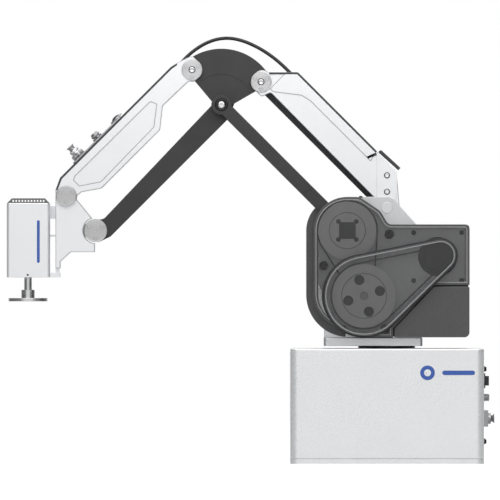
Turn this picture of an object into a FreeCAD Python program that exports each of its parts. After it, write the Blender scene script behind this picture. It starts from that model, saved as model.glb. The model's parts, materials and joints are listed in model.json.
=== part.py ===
import FreeCAD, Part
import math
import os

from FreeCAD import Vector

# Desktop robot arm: a base with a turntable, a two-parallelogram arm and a turning tool flange.
# Frame: origin at the bottom centre of the base, +Z up, +X the way the arm reaches, +Y its left side.
# "near" parts are on the +Y side and "far" parts on the -Y side. All sizes are in millimetres.

DIMENSIONS = {
    # base
    "base_side": 190.0, "base_top": 112.9, "base_corner": 8.0, "base_wall": 3.0, "base_plate_thick": 4.7,
    "bolt_spacing": 150.0, "bolt_hole_radius": 3.3,
    # turntable
    "ring_radius": 28.0, "ring_top": 115.3, "table_top": 123.4, "table_front": 62.0, "table_rear": 35.0,
    "table_half_width": 42.0,
    # arm geometry
    "shoulder_x": 38.9, "shoulder_z": 228.8, "link_length": 175.0, "crank_length": 45.0,
    "drive_crank": 41.0, "arm_angle": 45.0, "rear_crank_angle": 150.0, "front_crank_angle": 50.0,
    "drive_angle": 135.0, "tool_reach": 66.8,
    # layers, each the distance of its inner face from the middle plane, and its thickness
    "forearm_in": 17.5, "forearm_thick": 6.0, "sector_in": 24.3, "sector_thick": 3.5,
    "cheek_in": 28.4, "cheek_thick": 1.8, "panel_rise": 1.1, "cap_thick": 1.3,
    "frame_in": 31.8, "frame_thick": 4.0, "upper_bar_in": 33.4, "lower_bar_in": 37.0, "bar_thick": 5.0,
    "pulley_in": 43.2, "pulley_width": 7.0, "outer_pulley_in": 53.0, "cover_in": 52.0, "cover_thick": 2.0,
    "bulge_in": 61.5, "cover_rim_in": 36.4,
    # drive
    "shaft_radius": 8.0, "pin_radius": 4.0, "running_gap": 0.05, "bearing_wall": 4.5,
    "mid_x": 22.5, "mid_z": 164.7, "motor_x": -50.0, "motor_z": 203.2, "motor_side": 57.0,
    "arm_pulley_radius": 28.4, "mid_large_radius": 31.2, "mid_small_radius": 8.0,
    "motor_pulley_radius": 8.0, "belt_thick": 1.4, "belt_gap": 0.35,
    # housing outline
    "cover_front": 72.2, "cover_rear": -81.1, "cover_top": 234.8, "cover_bottom": 123.9,
    "dome_radius": 33.0, "front_wall_x": 79.2,
    # ends of the arm
    "disc_radius": 10.25, "wrist_disc_radius": 11.4, "boss_radius": 9.9,
    "sector_radius": 55.2, "sector_step_radius": 30.5,
    "flange_radius": 19.4, "flange_bottom": 159.1, "flange_thick": 3.3,
    "cable_radius": 1.7,
}

doc = FreeCAD.newDocument("robot_arm")
sheet = doc.addObject("Spreadsheet::Sheet", "dims")
for row, (alias, size) in enumerate(DIMENSIONS.items(), start=1):
    sheet.set("A%d" % row, alias)
    sheet.set("B%d" % row, str(size))
    sheet.setAlias("B%d" % row, alias)
doc.recompute()


def dim(alias):
    """The value of one driving dimension."""
    return float(sheet.get(alias))


def polar(origin, length, degrees):
    """A point at a length and angle from an origin, in the X-Z plane."""
    turn = math.radians(degrees)
    return (origin[0] + length * math.cos(turn), origin[1] + length * math.sin(turn))


SHOULDER = (dim("shoulder_x"), dim("shoulder_z"))
ELBOW = polar(SHOULDER, dim("link_length"), dim("arm_angle"))
WRIST = polar(ELBOW, dim("link_length"), -dim("arm_angle"))
REAR_FOOT = polar(SHOULDER, dim("crank_length"), dim("rear_crank_angle"))
REAR_HEAD = polar(ELBOW, dim("crank_length"), dim("rear_crank_angle"))
FRONT_HEAD = polar(ELBOW, dim("crank_length"), dim("front_crank_angle"))
FRONT_FOOT = polar(WRIST, dim("crank_length"), dim("front_crank_angle"))
DRIVE_FOOT = polar(SHOULDER, dim("drive_crank"), dim("drive_angle"))
DRIVE_HEAD = polar(ELBOW, dim("drive_crank"), dim("drive_angle"))
MIDDLE = (dim("mid_x"), dim("mid_z"))
MOTOR = (dim("motor_x"), dim("motor_z"))
TOOL_X = WRIST[0] + dim("tool_reach")
BASE_REAR = -dim("base_side") / 2

NODES = []


# ---- outlines: each returns a closed loop of edges in a sketch plane ----

def point(xy):
    return Vector(xy[0], xy[1], 0)


def line(start, end):
    return Part.LineSegment(point(start), point(end))


def circle(centre, radius):
    return [Part.Circle(point(centre), Vector(0, 0, 1), radius)]


def arc(centre, radius, start, end):
    """An arc from one angle anticlockwise to another, in degrees."""
    whole = Part.Circle(point(centre), Vector(0, 0, 1), radius)
    return Part.ArcOfCircle(whole, math.radians(start), math.radians(end))


def outline(corners):
    """A polygon whose corners are (x, y) or (x, y, radius of a rounded corner)."""
    ends = []
    curves = []
    for index, corner in enumerate(corners):
        radius = corner[2] if len(corner) > 2 else 0
        here = point(corner)
        before = (point(corners[index - 1]) - here).normalize()
        after = (point(corners[(index + 1) % len(corners)]) - here).normalize()
        if not radius:
            ends.append((here, here))
            continue
        half = before.getAngle(after) / 2
        reach = radius / math.tan(half)
        middle = (before + after).normalize()
        centre = here + middle * (radius / math.sin(half))
        first = here + before * reach
        last = here + after * reach
        ends.append((first, last))
        curves.append(Part.Arc(first, centre - middle * radius, last))
    edges = list(curves)
    for index, (unused, last) in enumerate(ends):
        following = ends[(index + 1) % len(ends)][0]
        if last.distanceToPoint(following) > 1e-6:
            edges.append(Part.LineSegment(last, following))
    return edges


def rectangle(low, high, radius=0):
    corners = [(low[0], low[1]), (high[0], low[1]), (high[0], high[1]), (low[0], high[1])]
    return outline([(x, y, radius) for x, y in corners])


def belt_path(first, first_radius, second, second_radius):
    """The loop of a belt round two circles."""
    gap = math.dist(first, second)
    heading = math.degrees(math.atan2(second[1] - first[1], second[0] - first[0]))
    lean = math.degrees(math.acos((first_radius - second_radius) / gap))
    low, high = heading - lean, heading + lean
    return [
        arc(first, first_radius, high, low + 360),
        line(polar(first, first_radius, low), polar(second, second_radius, low)),
        arc(second, second_radius, low, high),
        line(polar(second, second_radius, high), polar(first, first_radius, high)),
    ]


def link_frame(origin, degrees, side=1):
    """Turns (along, across, radius...) into X-Z: across is to the left of the way along, times side."""
    turn = math.radians(degrees)

    def place(corner):
        along, across = corner[0], corner[1] * side
        x = origin[0] + along * math.cos(turn) - across * math.sin(turn)
        z = origin[1] + along * math.sin(turn) + across * math.cos(turn)
        return (x, z) + tuple(corner[2:])
    return place


# ---- solids ----

def new_body(name):
    body = doc.addObject("PartDesign::Body", name)
    body.Label = name
    return body


def add_sketch(body, role, loops, offset):
    sketch = body.newObject("Sketcher::SketchObject", body.Name + "_sketch")
    plane = [item for item in body.Origin.OriginFeatures if item.Role == role][0]
    sketch.AttachmentSupport = [(plane, "")]
    sketch.MapMode = "FlatFace"
    sketch.setExpression("AttachmentOffset.Base.z", offset)
    for loop in loops:
        sketch.addGeometry(loop)
    return sketch


def add_pad(body, sketch, length):
    pad = body.newObject("PartDesign::Pad", body.Name + "_pad")
    pad.Profile = sketch
    pad.setExpression("Length", length)
    sketch.Visibility = False
    return pad


def side_pad(body, loops, inner, thick, side):
    """Adds a plate parallel to the X-Z plane, its inner face a distance from the middle plane."""
    offset = "-(%s + %s)" % (inner, thick) if side > 0 else inner
    return add_pad(body, add_sketch(body, "XZ_Plane", loops, offset), thick)


def side_plate(name, loops, inner, thick, side=1):
    body = new_body(name)
    side_pad(body, loops, inner, thick, side)
    return body


def full_pad(body, loops, half_width):
    """Adds a block parallel to the X-Z plane that reaches the same distance to both sides."""
    return add_pad(body, add_sketch(body, "XZ_Plane", loops, "-(%s)" % half_width), "2 * (%s)" % half_width)


def floor_pad(body, loops, bottom, thick):
    """Adds a plate parallel to the X-Y plane."""
    return add_pad(body, add_sketch(body, "XY_Plane", loops, bottom), thick)


TURNS = {
    "x": FreeCAD.Rotation(Vector(0, 1, 0), 90),
    "y": FreeCAD.Rotation(Vector(1, 0, 0), -90),
    "z": FreeCAD.Rotation(),
}


def set_place(item, spot, rotation):
    item.Placement = FreeCAD.Placement(Vector(0, 0, 0), rotation)
    for axis, value in zip("xyz", spot):
        item.setExpression("Placement.Base." + axis, str(value))


def cylinder(name, direction, spot, radius, length):
    """A cylinder that starts at a spot; a direction is x, y, z or a rotation."""
    item = doc.addObject("Part::Cylinder", name)
    item.setExpression("Radius", str(radius))
    item.setExpression("Height", str(length))
    rotation = TURNS[direction] if direction in ("x", "y", "z") else direction
    set_place(item, spot, rotation)
    return item


def block(name, spot, size, rotation=None):
    item = doc.addObject("Part::Box", name)
    for label, value in zip(("Length", "Width", "Height"), size):
        item.setExpression(label, str(value))
    set_place(item, spot, rotation or FreeCAD.Rotation())
    return item


def prism(name, direction, spot, radius, length):
    item = doc.addObject("Part::Prism", name)
    item.Polygon = 6
    item.setExpression("Circumradius", str(radius))
    item.setExpression("Height", str(length))
    set_place(item, spot, TURNS[direction] if direction in ("x", "y", "z") else direction)
    return item


def cut(name, base, tool):
    item = doc.addObject("Part::Cut", name)
    item.Base = base
    item.Tool = tool
    return item


def fuse(name, pieces):
    item = doc.addObject("Part::MultiFuse", name)
    item.Shapes = pieces
    return item


def group(name, pieces):
    """Several separate solids in one sub-part."""
    item = doc.addObject("Part::Compound", name)
    item.Links = pieces
    return item


def keep(item, name):
    """Names a finished sub-part and puts it on the list that is written out."""
    item.Label = name
    NODES.append(item)
    return item


def tube(name, direction, spot, outer, inner, length):
    whole = cylinder(name + "_outer", direction, spot, outer, length)
    bore = cylinder(name + "_bore", direction, spot, inner, length)
    return cut(name, whole, bore)


def y_cylinder(name, centre, start, radius, length):
    """A cylinder along +Y about a point of the X-Z plane."""
    return cylinder(name, "y", (centre[0], start, centre[1]), radius, length)


def both_sides(name, centre, inner, radius, length):
    """Two equal cylinders along Y, one each side of the middle plane."""
    near = y_cylinder(name + "_near", centre, inner, radius, length)
    far = y_cylinder(name + "_far", centre, "-(%s) - (%s)" % (inner, length), radius, length)
    return [near, far]


def socket_screw(name, direction, spot, radius, length):
    """A screw head with a hexagonal socket in its far end."""
    head = cylinder(name + "_head", direction, spot, radius, length)
    rotation = TURNS[direction] if direction in ("x", "y", "z") else direction
    deep = rotation.multVec(Vector(0, 0, length * 0.5))
    at = [spot[0] + deep.x, spot[1] + deep.y, spot[2] + deep.z]
    return cut(name, head, prism(name + "_socket", direction, at, radius * 0.5, length))


# ---- base ----

def make_base_housing():
    half = dim("base_side") / 2
    inner = half - dim("base_wall")
    corner = dim("base_corner")
    skin = rectangle((-half, -half), (half, half), corner)
    hollow = rectangle((-inner, -inner), (inner, inner), corner - dim("base_wall"))
    body = new_body("base_housing")
    floor_pad(body, [skin, hollow], "dims.base_plate_thick",
              "dims.base_top - dims.base_wall - dims.base_plate_thick")
    neck = circle((0, 0), 20.0)
    floor_pad(body, [skin, neck], "dims.base_top - dims.base_wall", "dims.base_wall")
    keep(body, "base_housing")


def make_base_plate():
    half = dim("base_side") / 2
    reach = dim("bolt_spacing") / 2
    holes = [circle((x, y), dim("bolt_hole_radius")) for x in (-reach, reach) for y in (-reach, reach)]
    body = new_body("base_plate")
    floor_pad(body, [rectangle((-half, -half), (half, half), dim("base_corner"))] + holes, "0",
              "dims.base_plate_thick")
    keep(body, "base_plate")


def make_control_board():
    board_bottom = 12.0
    board = block("board", (-70, 20, board_bottom), (120, 60, 1.6))
    posts = [cylinder("board_post", "z", (x, y, "dims.base_plate_thick"), 3, board_bottom - 4.7)
             for x in (-64, 44) for y in (26, 74)]
    chips = [block("chip", (x, y, board_bottom + 1.6), (14, 14, 4)) for x in (-55, -25, 5) for y in (30, 55)]
    sockets = [block("board_socket", (30, y, board_bottom + 1.6), (12, 16, 9)) for y in (28, 52)]
    keep(fuse("control_board", [board] + posts + chips + sockets), "control_board")


YAW_MOTOR_X = -48.0
YAW_PULLEY_RADIUS = 12.0
YAW_DRUM_RADIUS = 36.0
YAW_PULLEY_Z = 78.0


def make_yaw_drive():
    """The motor that turns the turntable stands in the base and drives a toothed belt."""
    half = 21.0
    case = block("yaw_motor_case", (YAW_MOTOR_X - half, -half - 40, 28), (2 * half, 2 * half, 40))
    foot = block("yaw_motor_foot", (YAW_MOTOR_X - half, -half - 40, "dims.base_plate_thick"),
                 (2 * half, 2 * half, "28 - dims.base_plate_thick"))
    axle = cylinder("yaw_motor_axle", "z", (YAW_MOTOR_X, -40, 68), 2.5, 22)
    keep(fuse("yaw_motor", [case, foot, axle]), "yaw_motor")
    wheel = tube("yaw_motor_pulley", "z", (YAW_MOTOR_X, -40, YAW_PULLEY_Z), YAW_PULLEY_RADIUS,
                 2.55, 8)
    keep(wheel, "yaw_motor_pulley")
    gap = dim("belt_gap")
    inner = belt_path((0, 0), YAW_DRUM_RADIUS + gap, (YAW_MOTOR_X, -40), YAW_PULLEY_RADIUS + gap)
    gap += dim("belt_thick")
    outer = belt_path((0, 0), YAW_DRUM_RADIUS + gap, (YAW_MOTOR_X, -40), YAW_PULLEY_RADIUS + gap)
    belt = new_body("yaw_belt")
    floor_pad(belt, [outer, inner], str(YAW_PULLEY_Z + 1), "6")
    keep(belt, "yaw_belt")


def make_rear_ports():
    """The sockets, the air inlet and the screws on the rear wall of the base."""
    row_y = 10.0
    flange = block("socket_flange", ("-dims.base_side / 2 - 2", row_y - 12, 73.7), (2, 24, 14.6))
    shell = block("socket_shell", ("-dims.base_side / 2 - 5.6", row_y - 9, 76.3), (3.6, 18, 9.4))
    mouth = block("socket_mouth", ("-dims.base_side / 2 - 6", row_y - 7, 77.8), (5, 14, 6.4))
    keep(cut("rear_socket", fuse("rear_socket_solid", [flange, shell]), mouth), "rear_socket")

    centre_z = 64.5
    ribs = [cylinder("port_rib", "x", ("-dims.base_side / 2 - %s" % (2.0 + 1.6 * count), row_y, centre_z),
                     3.7, 1.0) for count in range(3)]
    core = cylinder("port_core", "x", ("-dims.base_side / 2 - 6", row_y, centre_z), 3.0, 6)
    keep(fuse("data_port", ribs + [core]), "data_port")

    air_z = 43.9
    seat = block("air_seat", ("-dims.base_side / 2 - 4.9", row_y - 8.2, air_z - 8.1), (4.9, 16.4, 16.2))
    collar = cylinder("air_collar", "x", ("-dims.base_side / 2 - 7.5", row_y, air_z), 5.4, 2.6)
    bore = cylinder("air_bore", "x", ("-dims.base_side / 2 - 8", row_y, air_z), 3.3, 6.5)
    keep(cut("air_inlet", fuse("air_inlet_solid", [seat, collar]), bore), "air_inlet")
    sleeve = cylinder("collet_sleeve", "x", ("-dims.base_side / 2 - 11", row_y, air_z), 3.2, 8)
    lip = cylinder("collet_lip", "x", ("-dims.base_side / 2 - 11", row_y, air_z), 4.6, 1.0)
    throat = cylinder("collet_throat", "x", ("-dims.base_side / 2 - 12", row_y, air_z), 2.05, 12)
    keep(cut("air_inlet_collet", fuse("air_collet_solid", [sleeve, lip]), throat), "air_inlet_collet")

    backward = FreeCAD.Rotation(Vector(0, 1, 0), -90)
    screws = [socket_screw("rear_screw", backward, (BASE_REAR, row_y + shift, height), 2.6, 3)
              for shift, height in ((0, 92.8), (0, 21.7), (-55, 92.8), (55, 92.8), (-55, 21.7), (55, 21.7))]
    keep(group("rear_screws", screws), "rear_screws")


# ---- turntable and frame ----

def make_turntable():
    ring = tube("turntable_ring", "z", (0, 0, "dims.base_top + 0.3"), "dims.ring_radius", 16.0,
                "dims.ring_top - dims.base_top - 0.3")
    keep(ring, "turntable_ring")
    table = new_body("turntable_plate")
    width = dim("table_half_width")
    shape = rectangle((-dim("table_rear"), -width), (dim("table_front"), width), 3)
    floor_pad(table, [shape, circle((0, 0), 12)], "dims.ring_top", "dims.table_top - dims.ring_top")
    keep(table, "turntable_plate")

    spindle = tube("yaw_spindle", "z", (0, 0, YAW_PULLEY_Z - 6), 16.0, 12.0, "dims.ring_top - 72")
    drum = tube("yaw_drum", "z", (0, 0, YAW_PULLEY_Z), YAW_DRUM_RADIUS, 15.9, 8)
    keep(fuse("yaw_shaft", [spindle, drum]), "yaw_shaft")


def frame_outline():
    table = dim("table_top")
    return outline([
        (-5.5, table), (61.5, table), (61.5, table + 10, 3), (52, table + 17, 10),
        (67, 176, 10), (67, 236, 24), (24, 262, 2), (-4.5, 262, 7), (-31.6, 232),
        (-78, 232, 3), (-78, 176.4), (-45, 176.4), (-5.5, 133.6),
    ])


COVER_POSTS = ((-2.3, 225.2), (62.1, 194.3), (1.6, 132.0))


def make_frame_plates():
    motor_pilot = 19.1
    motor_bolt = 23.57
    bolts = [circle((MOTOR[0] + x, MOTOR[1] + z), 2.4)
             for x in (-motor_bolt, motor_bolt) for z in (-motor_bolt, motor_bolt)]
    seat = dim("shaft_radius") + dim("bearing_wall")
    holes = [circle(SHOULDER, seat), circle(REAR_FOOT, 4.0), circle(MIDDLE, 4.05),
             circle(MOTOR, motor_pilot)] + bolts
    for name, side in (("frame_plate_near", 1), ("frame_plate_far", -1)):
        plate = side_plate(name, [frame_outline()] + holes, "dims.frame_in", "dims.frame_thick", side)
        keep(plate, name)


def ring_pair(name, centre, inner, outer_radius, inner_radius, width):
    """Two equal rings about one axis, one each side of the middle plane."""
    near = tube(name + "_near", "y", (centre[0], inner, centre[1]), outer_radius, inner_radius, width)
    far = tube(name + "_far", "y", (centre[0], "-(%s) - (%s)" % (inner, width), centre[1]),
               outer_radius, inner_radius, width)
    return [near, far]


def make_frame_fittings():
    rings = ring_pair("frame_bearing", SHOULDER, "dims.frame_in",
                      "dims.shaft_radius + dims.bearing_wall", "dims.shaft_radius", "dims.frame_thick")
    keep(group("frame_bearings", rings), "frame_bearings")
    spots = ((43, 143), (8, 131), (52, 180))
    posts = [y_cylinder("spacer", spot, "-dims.frame_in", 4, "2 * dims.frame_in") for spot in spots]
    for spot in COVER_POSTS:
        posts += both_sides("cover_post", spot, "dims.frame_in + dims.frame_thick", 4.6,
                            "dims.cover_in - dims.frame_in - dims.frame_thick")
    keep(group("frame_posts", posts), "frame_posts")
    pins = both_sides("foot_pin", REAR_FOOT, "dims.cheek_in + 0.3", 3.95,
                      "dims.frame_in + dims.frame_thick - dims.cheek_in - 0.3")
    heads = both_sides("foot_pin_head", REAR_FOOT, "dims.frame_in + dims.frame_thick", 5.4, 1.0)
    pins = [fuse("foot_pin_whole", [pin, head]) for pin, head in zip(pins, heads)]
    keep(group("rear_link_pins", pins), "rear_link_pins")


# ---- housing ----

def cover_outline(inset=0.0):
    """The side view of a turret cover: a dome over the shoulder and a box over the motor."""
    front = dim("cover_front") - inset
    top = dim("cover_top") - inset
    rear = dim("cover_rear") + inset
    bottom = dim("cover_bottom") + inset
    dome = dim("dome_radius") - inset
    crown = SHOULDER[1] + dome
    case_top = 175.4 + inset
    return outline([
        (front, crown, dome), (27, crown, 12), (6.5, 248, 14), (-1, top, 7), (rear, top, 5 - inset / 2),
        (rear, case_top), (-46 + inset, case_top), (-6 + inset, 133 + inset), (-6 + inset, bottom),
        (28, bottom, 28), (front, 146, 34),
    ])


def bulge_outline(inset=0.0):
    return belt_path(MIDDLE, 39.4 - inset, (-52.7, 204.5), 15.2 - inset)


def swing_slot(side):
    """The wedge through which the shoulder bar swings, cut from the inner part of a cover."""
    reach = 70.0
    wedge = [
        line(polar(SHOULDER, 0, 0), polar(SHOULDER, reach, -12)),
        line(polar(SHOULDER, reach, -12), polar(SHOULDER, reach * 1.35, 60)),
        line(polar(SHOULDER, reach * 1.35, 60), polar(SHOULDER, reach, 134)),
        line(polar(SHOULDER, reach, 134), polar(SHOULDER, 0, 0)),
    ]
    return side_plate("cover_swing", [wedge], "dims.cover_rim_in - 1",
                      "dims.pulley_in - dims.cover_rim_in + 0.4", side)


def make_side_cover(name, side):
    wall = dim("cover_thick")
    body = new_body(name + "_shell")
    side_pad(body, [cover_outline(), cover_outline(wall)], "dims.cover_rim_in",
             "dims.cover_in - dims.cover_rim_in", side)
    side_pad(body, [cover_outline(), bulge_outline(wall)], "dims.cover_in", "dims.cover_thick", side)
    bulge = new_body(name + "_bulge")
    side_pad(bulge, [bulge_outline(), bulge_outline(wall)], "dims.cover_in", "dims.bulge_in - dims.cover_in", side)
    side_pad(bulge, [bulge_outline()], "dims.bulge_in", "dims.cover_thick", side)
    whole = fuse(name + "_whole", [body, bulge])
    keep(cut(name, whole, swing_slot(side)), name)


def make_rear_case():
    """The closed lower rear box of the turret."""
    wall = 2.0
    low, high = dim("cover_bottom"), 174.1
    rear = dim("cover_rear")
    skin = outline([(rear, low, 5), (-7, low), (-7, low + 9), (-46, high), (rear, high, 2)])
    hollow = outline([(rear + wall, low + wall, 3), (-9.5, low + wall), (-9.5, low + 8), (-47, high - wall),
                      (rear + wall, high - wall, 1)])
    body = new_body("rear_case")
    full_pad(body, [skin, hollow], "dims.cover_in")
    for side in (1, -1):
        side_pad(body, [skin], "dims.cover_in", "dims.cover_thick", side)
    keep(body, "rear_case")


def make_motor_cover():
    """The bent sheet over and behind the two motors, between the side covers."""
    wall = 2.0
    top = dim("cover_top")
    rear = dim("cover_rear")
    low, front = 175.4, -14.0
    bend = 3.2
    ear = -33.0
    skin = outline([(rear, low), (rear + wall, low), (rear + wall, top - wall, bend - wall), (ear, top - wall),
                    (ear, top), (rear, top, bend)])
    body = new_body("motor_cover")
    full_pad(body, [skin], "dims.cover_rim_in - 0.3")
    full_pad(body, [rectangle((ear, top - wall), (front, top))], "dims.frame_in - 0.2")
    keep(body, "motor_cover")


def front_band(wall):
    """The side view of the turret's curved front, as a band of a width inside it."""
    foot_radius, foot_z, foot_turn = 41.4, 165.6, -76
    crown_turn = 45
    dome = dim("dome_radius")
    front = dim("front_wall_x")
    foot = (front - foot_radius, foot_z)
    crown = (front - dome, SHOULDER[1])
    return [
        arc(foot, foot_radius, foot_turn, 0),
        line(polar(foot, foot_radius, 0), polar(crown, dome, 0)),
        arc(crown, dome, 0, crown_turn),
        line(polar(crown, dome, crown_turn), polar(crown, dome - wall, crown_turn)),
        arc(crown, dome - wall, 0, crown_turn),
        line(polar(crown, dome - wall, 0), polar(foot, foot_radius - wall, 0)),
        arc(foot, foot_radius - wall, foot_turn, 0),
        line(polar(foot, foot_radius - wall, foot_turn), polar(foot, foot_radius, foot_turn)),
    ]


def make_front_cover():
    """The curved front wall of the turret and its two cheeks, between the frame plates."""
    wall = 2.2
    cheek_width = 11.8
    cheek_thick = "1.8"
    body = new_body("front_cover")
    full_pad(body, [front_band(wall)], "dims.frame_in - 0.2")
    for side in (1, -1):
        side_pad(body, [front_band(cheek_width)], "dims.frame_in - 0.2 - %s" % cheek_thick, cheek_thick, side)
    keep(body, "front_cover")


# ---- drives on both sides ----

def make_motor(name, side):
    """A square stepper motor behind a frame plate, its axle through the plate."""
    half = dim("motor_side") / 2
    length = "dims.frame_in - 1.2"
    start = 1.0 if side > 0 else "-dims.frame_in + 0.2"
    case = block(name + "_case", (MOTOR[0] - half, start, MOTOR[1] - half), (2 * half, length, 2 * half))
    pilot_start = "dims.frame_in - 0.2" if side > 0 else "-dims.frame_in - 2"
    pilot = y_cylinder(name + "_pilot", MOTOR, pilot_start, 19.0, 2.2)
    nose_length = "dims.cover_in - dims.frame_in - 2"
    nose = y_cylinder(name + "_nose", MOTOR, side_start("dims.frame_in + 1.5", nose_length, side), 13.2, nose_length)
    axle_start = "dims.frame_in" if side > 0 else "-dims.outer_pulley_in - dims.pulley_width - 0.6"
    axle = y_cylinder(name + "_axle", MOTOR, axle_start, 3.15,
                      "dims.outer_pulley_in + dims.pulley_width + 0.6 - dims.frame_in")
    keep(fuse(name, [case, pilot, nose, axle]), name)


def side_start(inner, width, side):
    return inner if side > 0 else "-(%s) - (%s)" % (inner, width)


def make_motor_pulley(name, side):
    start = side_start("dims.outer_pulley_in", "dims.pulley_width", side)
    keep(tube(name, "y", (MOTOR[0], start, MOTOR[1]), "dims.motor_pulley_radius", 3.2, "dims.pulley_width"), name)


def make_mid_pulley(name, side):
    """A large and a small pulley in one, on a short shaft that turns in the frame plate."""
    holes = [circle(polar(MIDDLE, 16.2, 73 + 90 * count), 5.0) for count in range(4)]
    large = side_plate(name + "_large", [circle(MIDDLE, dim("mid_large_radius"))] + holes,
                       "dims.outer_pulley_in", "dims.pulley_width", side)
    small = y_cylinder(name + "_small", MIDDLE, side_start("dims.pulley_in", "9.9", side),
                       "dims.mid_small_radius", 9.9)
    shaft = y_cylinder(name + "_shaft", MIDDLE, side_start("dims.frame_in - 1", "13", side), 4.0, 13)
    keep(fuse(name, [large, small, shaft]), name)


def make_belts(name, side):
    """The motor belt and the arm belt of one side."""
    low = dim("belt_gap")
    high = low + dim("belt_thick")
    motor_loops = [belt_path(MIDDLE, dim("mid_large_radius") + gap, MOTOR, dim("motor_pulley_radius") + gap)
                   for gap in (high, low)]
    arm_loops = [belt_path(SHOULDER, dim("arm_pulley_radius") + gap, MIDDLE, dim("mid_small_radius") + gap)
                 for gap in (high, low)]
    first = side_plate(name + "_motor", motor_loops, "dims.outer_pulley_in + 1", "5", side)
    second = side_plate(name + "_arm", arm_loops, "dims.pulley_in + 1", "5", side)
    keep(group(name, [first, second]), name)


def pulley_face(centre, radius):
    """An arm pulley's side view, with four bolt holes round a square hub hole."""
    lobes = [circle(polar(centre, 13.3, 45 + 90 * count), 1.7) for count in range(4)]
    return [circle(centre, radius)] + lobes


# ---- lower arm ----

def bar_shape(start, length, low, high):
    """A straight run of a bar along the lower arm, from start to length."""
    place = link_frame(SHOULDER, dim("arm_angle"))
    corners = [(start, low), (length, low), (length, high), (start, high)]
    return outline([place(corner) for corner in corners])


def make_arm_bar(name, side):
    """A bar with a step: its lower run is outside the frame plate and its upper run beside the elbow."""
    half = 6.35
    length = dim("link_length")
    step_low, step_high = 46.0, 54.0
    upper = side_plate(name + "_upper", [bar_shape(step_low, length, -half, half)],
                       "dims.upper_bar_in", "dims.bar_thick", side)
    lower = side_plate(name + "_lower", [bar_shape(0, step_high, -half, half)],
                       "dims.lower_bar_in", "dims.bar_thick", side)
    head = y_cylinder(name + "_head", ELBOW, side_start("dims.upper_bar_in", "dims.bar_thick", side),
                      "dims.boss_radius", "dims.bar_thick")
    foot = y_cylinder(name + "_foot", SHOULDER, side_start("dims.lower_bar_in", "dims.bar_thick", side),
                      13.5, "dims.bar_thick")
    solid = fuse(name + "_solid", [upper, lower, head, foot])
    seat = y_cylinder(name + "_seat", SHOULDER, side_start("dims.lower_bar_in", "dims.bar_thick", side),
                      "dims.shaft_radius", "dims.bar_thick")
    pin_hole = y_cylinder(name + "_pin_hole", ELBOW, side_start("dims.upper_bar_in", "dims.bar_thick", side),
                          5.0, "dims.bar_thick")
    recess = y_cylinder(name + "_recess", ELBOW,
                        side_start("dims.upper_bar_in + dims.bar_thick - 1", "1", side), 6.1, 1)
    keep(cut(name, solid, fuse(name + "_holes", [seat, pin_hole, recess])), name)


def make_lower_arm():
    make_arm_bar("arm_bar_near", 1)
    make_arm_bar("arm_bar_far", -1)

    wheel = side_plate("shoulder_wheel", pulley_face(SHOULDER, dim("arm_pulley_radius")), "dims.pulley_in",
                       "dims.pulley_width", 1)
    boss = y_cylinder("shoulder_boss", SHOULDER, "dims.lower_bar_in + dims.bar_thick", 12.0,
                      "dims.pulley_in - dims.lower_bar_in - dims.bar_thick")
    axle = y_cylinder("shoulder_axle", SHOULDER, "dims.frame_in - 1.4", "dims.shaft_radius - dims.running_gap",
                      "dims.pulley_in - dims.frame_in + 1.4")
    keep(fuse("shoulder_pulley", [wheel, boss, axle]), "shoulder_pulley")

    shaft = y_cylinder("elbow_axle", ELBOW, "-dims.upper_bar_in - dims.bar_thick + 1", 4.95,
                       "2 * (dims.upper_bar_in + dims.bar_thick - 1)")
    washers = both_sides("elbow_washer", ELBOW, "dims.sector_in + dims.sector_thick + 0.3", 8.5,
                         "dims.upper_bar_in - dims.sector_in - dims.sector_thick - 0.4")
    heads = both_sides("elbow_head", ELBOW, "dims.upper_bar_in + dims.bar_thick - 1", 3.9, 1.2)
    keep(fuse("elbow_shaft", [shaft] + washers + heads), "elbow_shaft")


# ---- elbow drive: a crank at the shoulder and a rod to the tail of the forearm ----

def make_elbow_drive():
    wheel = side_plate("elbow_wheel", pulley_face(SHOULDER, dim("arm_pulley_radius")), "dims.pulley_in",
                       "dims.pulley_width", -1)
    keep(wheel, "elbow_pulley")

    lever_in = "5.2"
    axle = y_cylinder("crank_axle", SHOULDER, "-dims.pulley_in", "dims.shaft_radius - dims.running_gap",
                      "dims.pulley_in - 5.2")
    place = link_frame(SHOULDER, dim("drive_angle"))
    arm = outline([place(corner) for corner in ((0, -7), (dim("drive_crank"), -5), (dim("drive_crank"), 5), (0, 7))])
    web = side_plate("crank_web", [arm], lever_in, "6", -1)
    eye = y_cylinder("crank_eye", DRIVE_FOOT, -11.2, 6.0, 6)
    hub = y_cylinder("crank_hub", SHOULDER, -11.2, 10.5, 6)
    pin = y_cylinder("crank_pin", DRIVE_FOOT, -5.2, 2.45, 9.6)
    keep(fuse("drive_crank", [axle, web, eye, hub, pin]), "drive_crank")

    keep(tube("crank_bush", "y", (DRIVE_FOOT[0], -4, DRIVE_FOOT[1]), 3.45, 2.5, 8), "crank_bush")

    place = link_frame(DRIVE_FOOT, dim("arm_angle"))
    length = dim("link_length")
    strip = outline([place(corner) for corner in ((0, -4), (length, -4), (length, 4), (0, 4))])
    bar = new_body("rod_bar")
    full_pad(bar, [strip], "4")
    ends = [y_cylinder("rod_eye", spot, -4, 6.2, 8) for spot in (DRIVE_FOOT, DRIVE_HEAD)]
    foot_hole = y_cylinder("rod_foot_hole", DRIVE_FOOT, -5, 3.5, 10)
    head_hole = y_cylinder("rod_head_hole", DRIVE_HEAD, -5, 3.5, 10)
    solid = fuse("rod_solid", [bar] + ends)
    keep(cut("drive_rod", solid, fuse("rod_holes", [foot_hole, head_hole])), "drive_rod")


# ---- rear link ----

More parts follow.
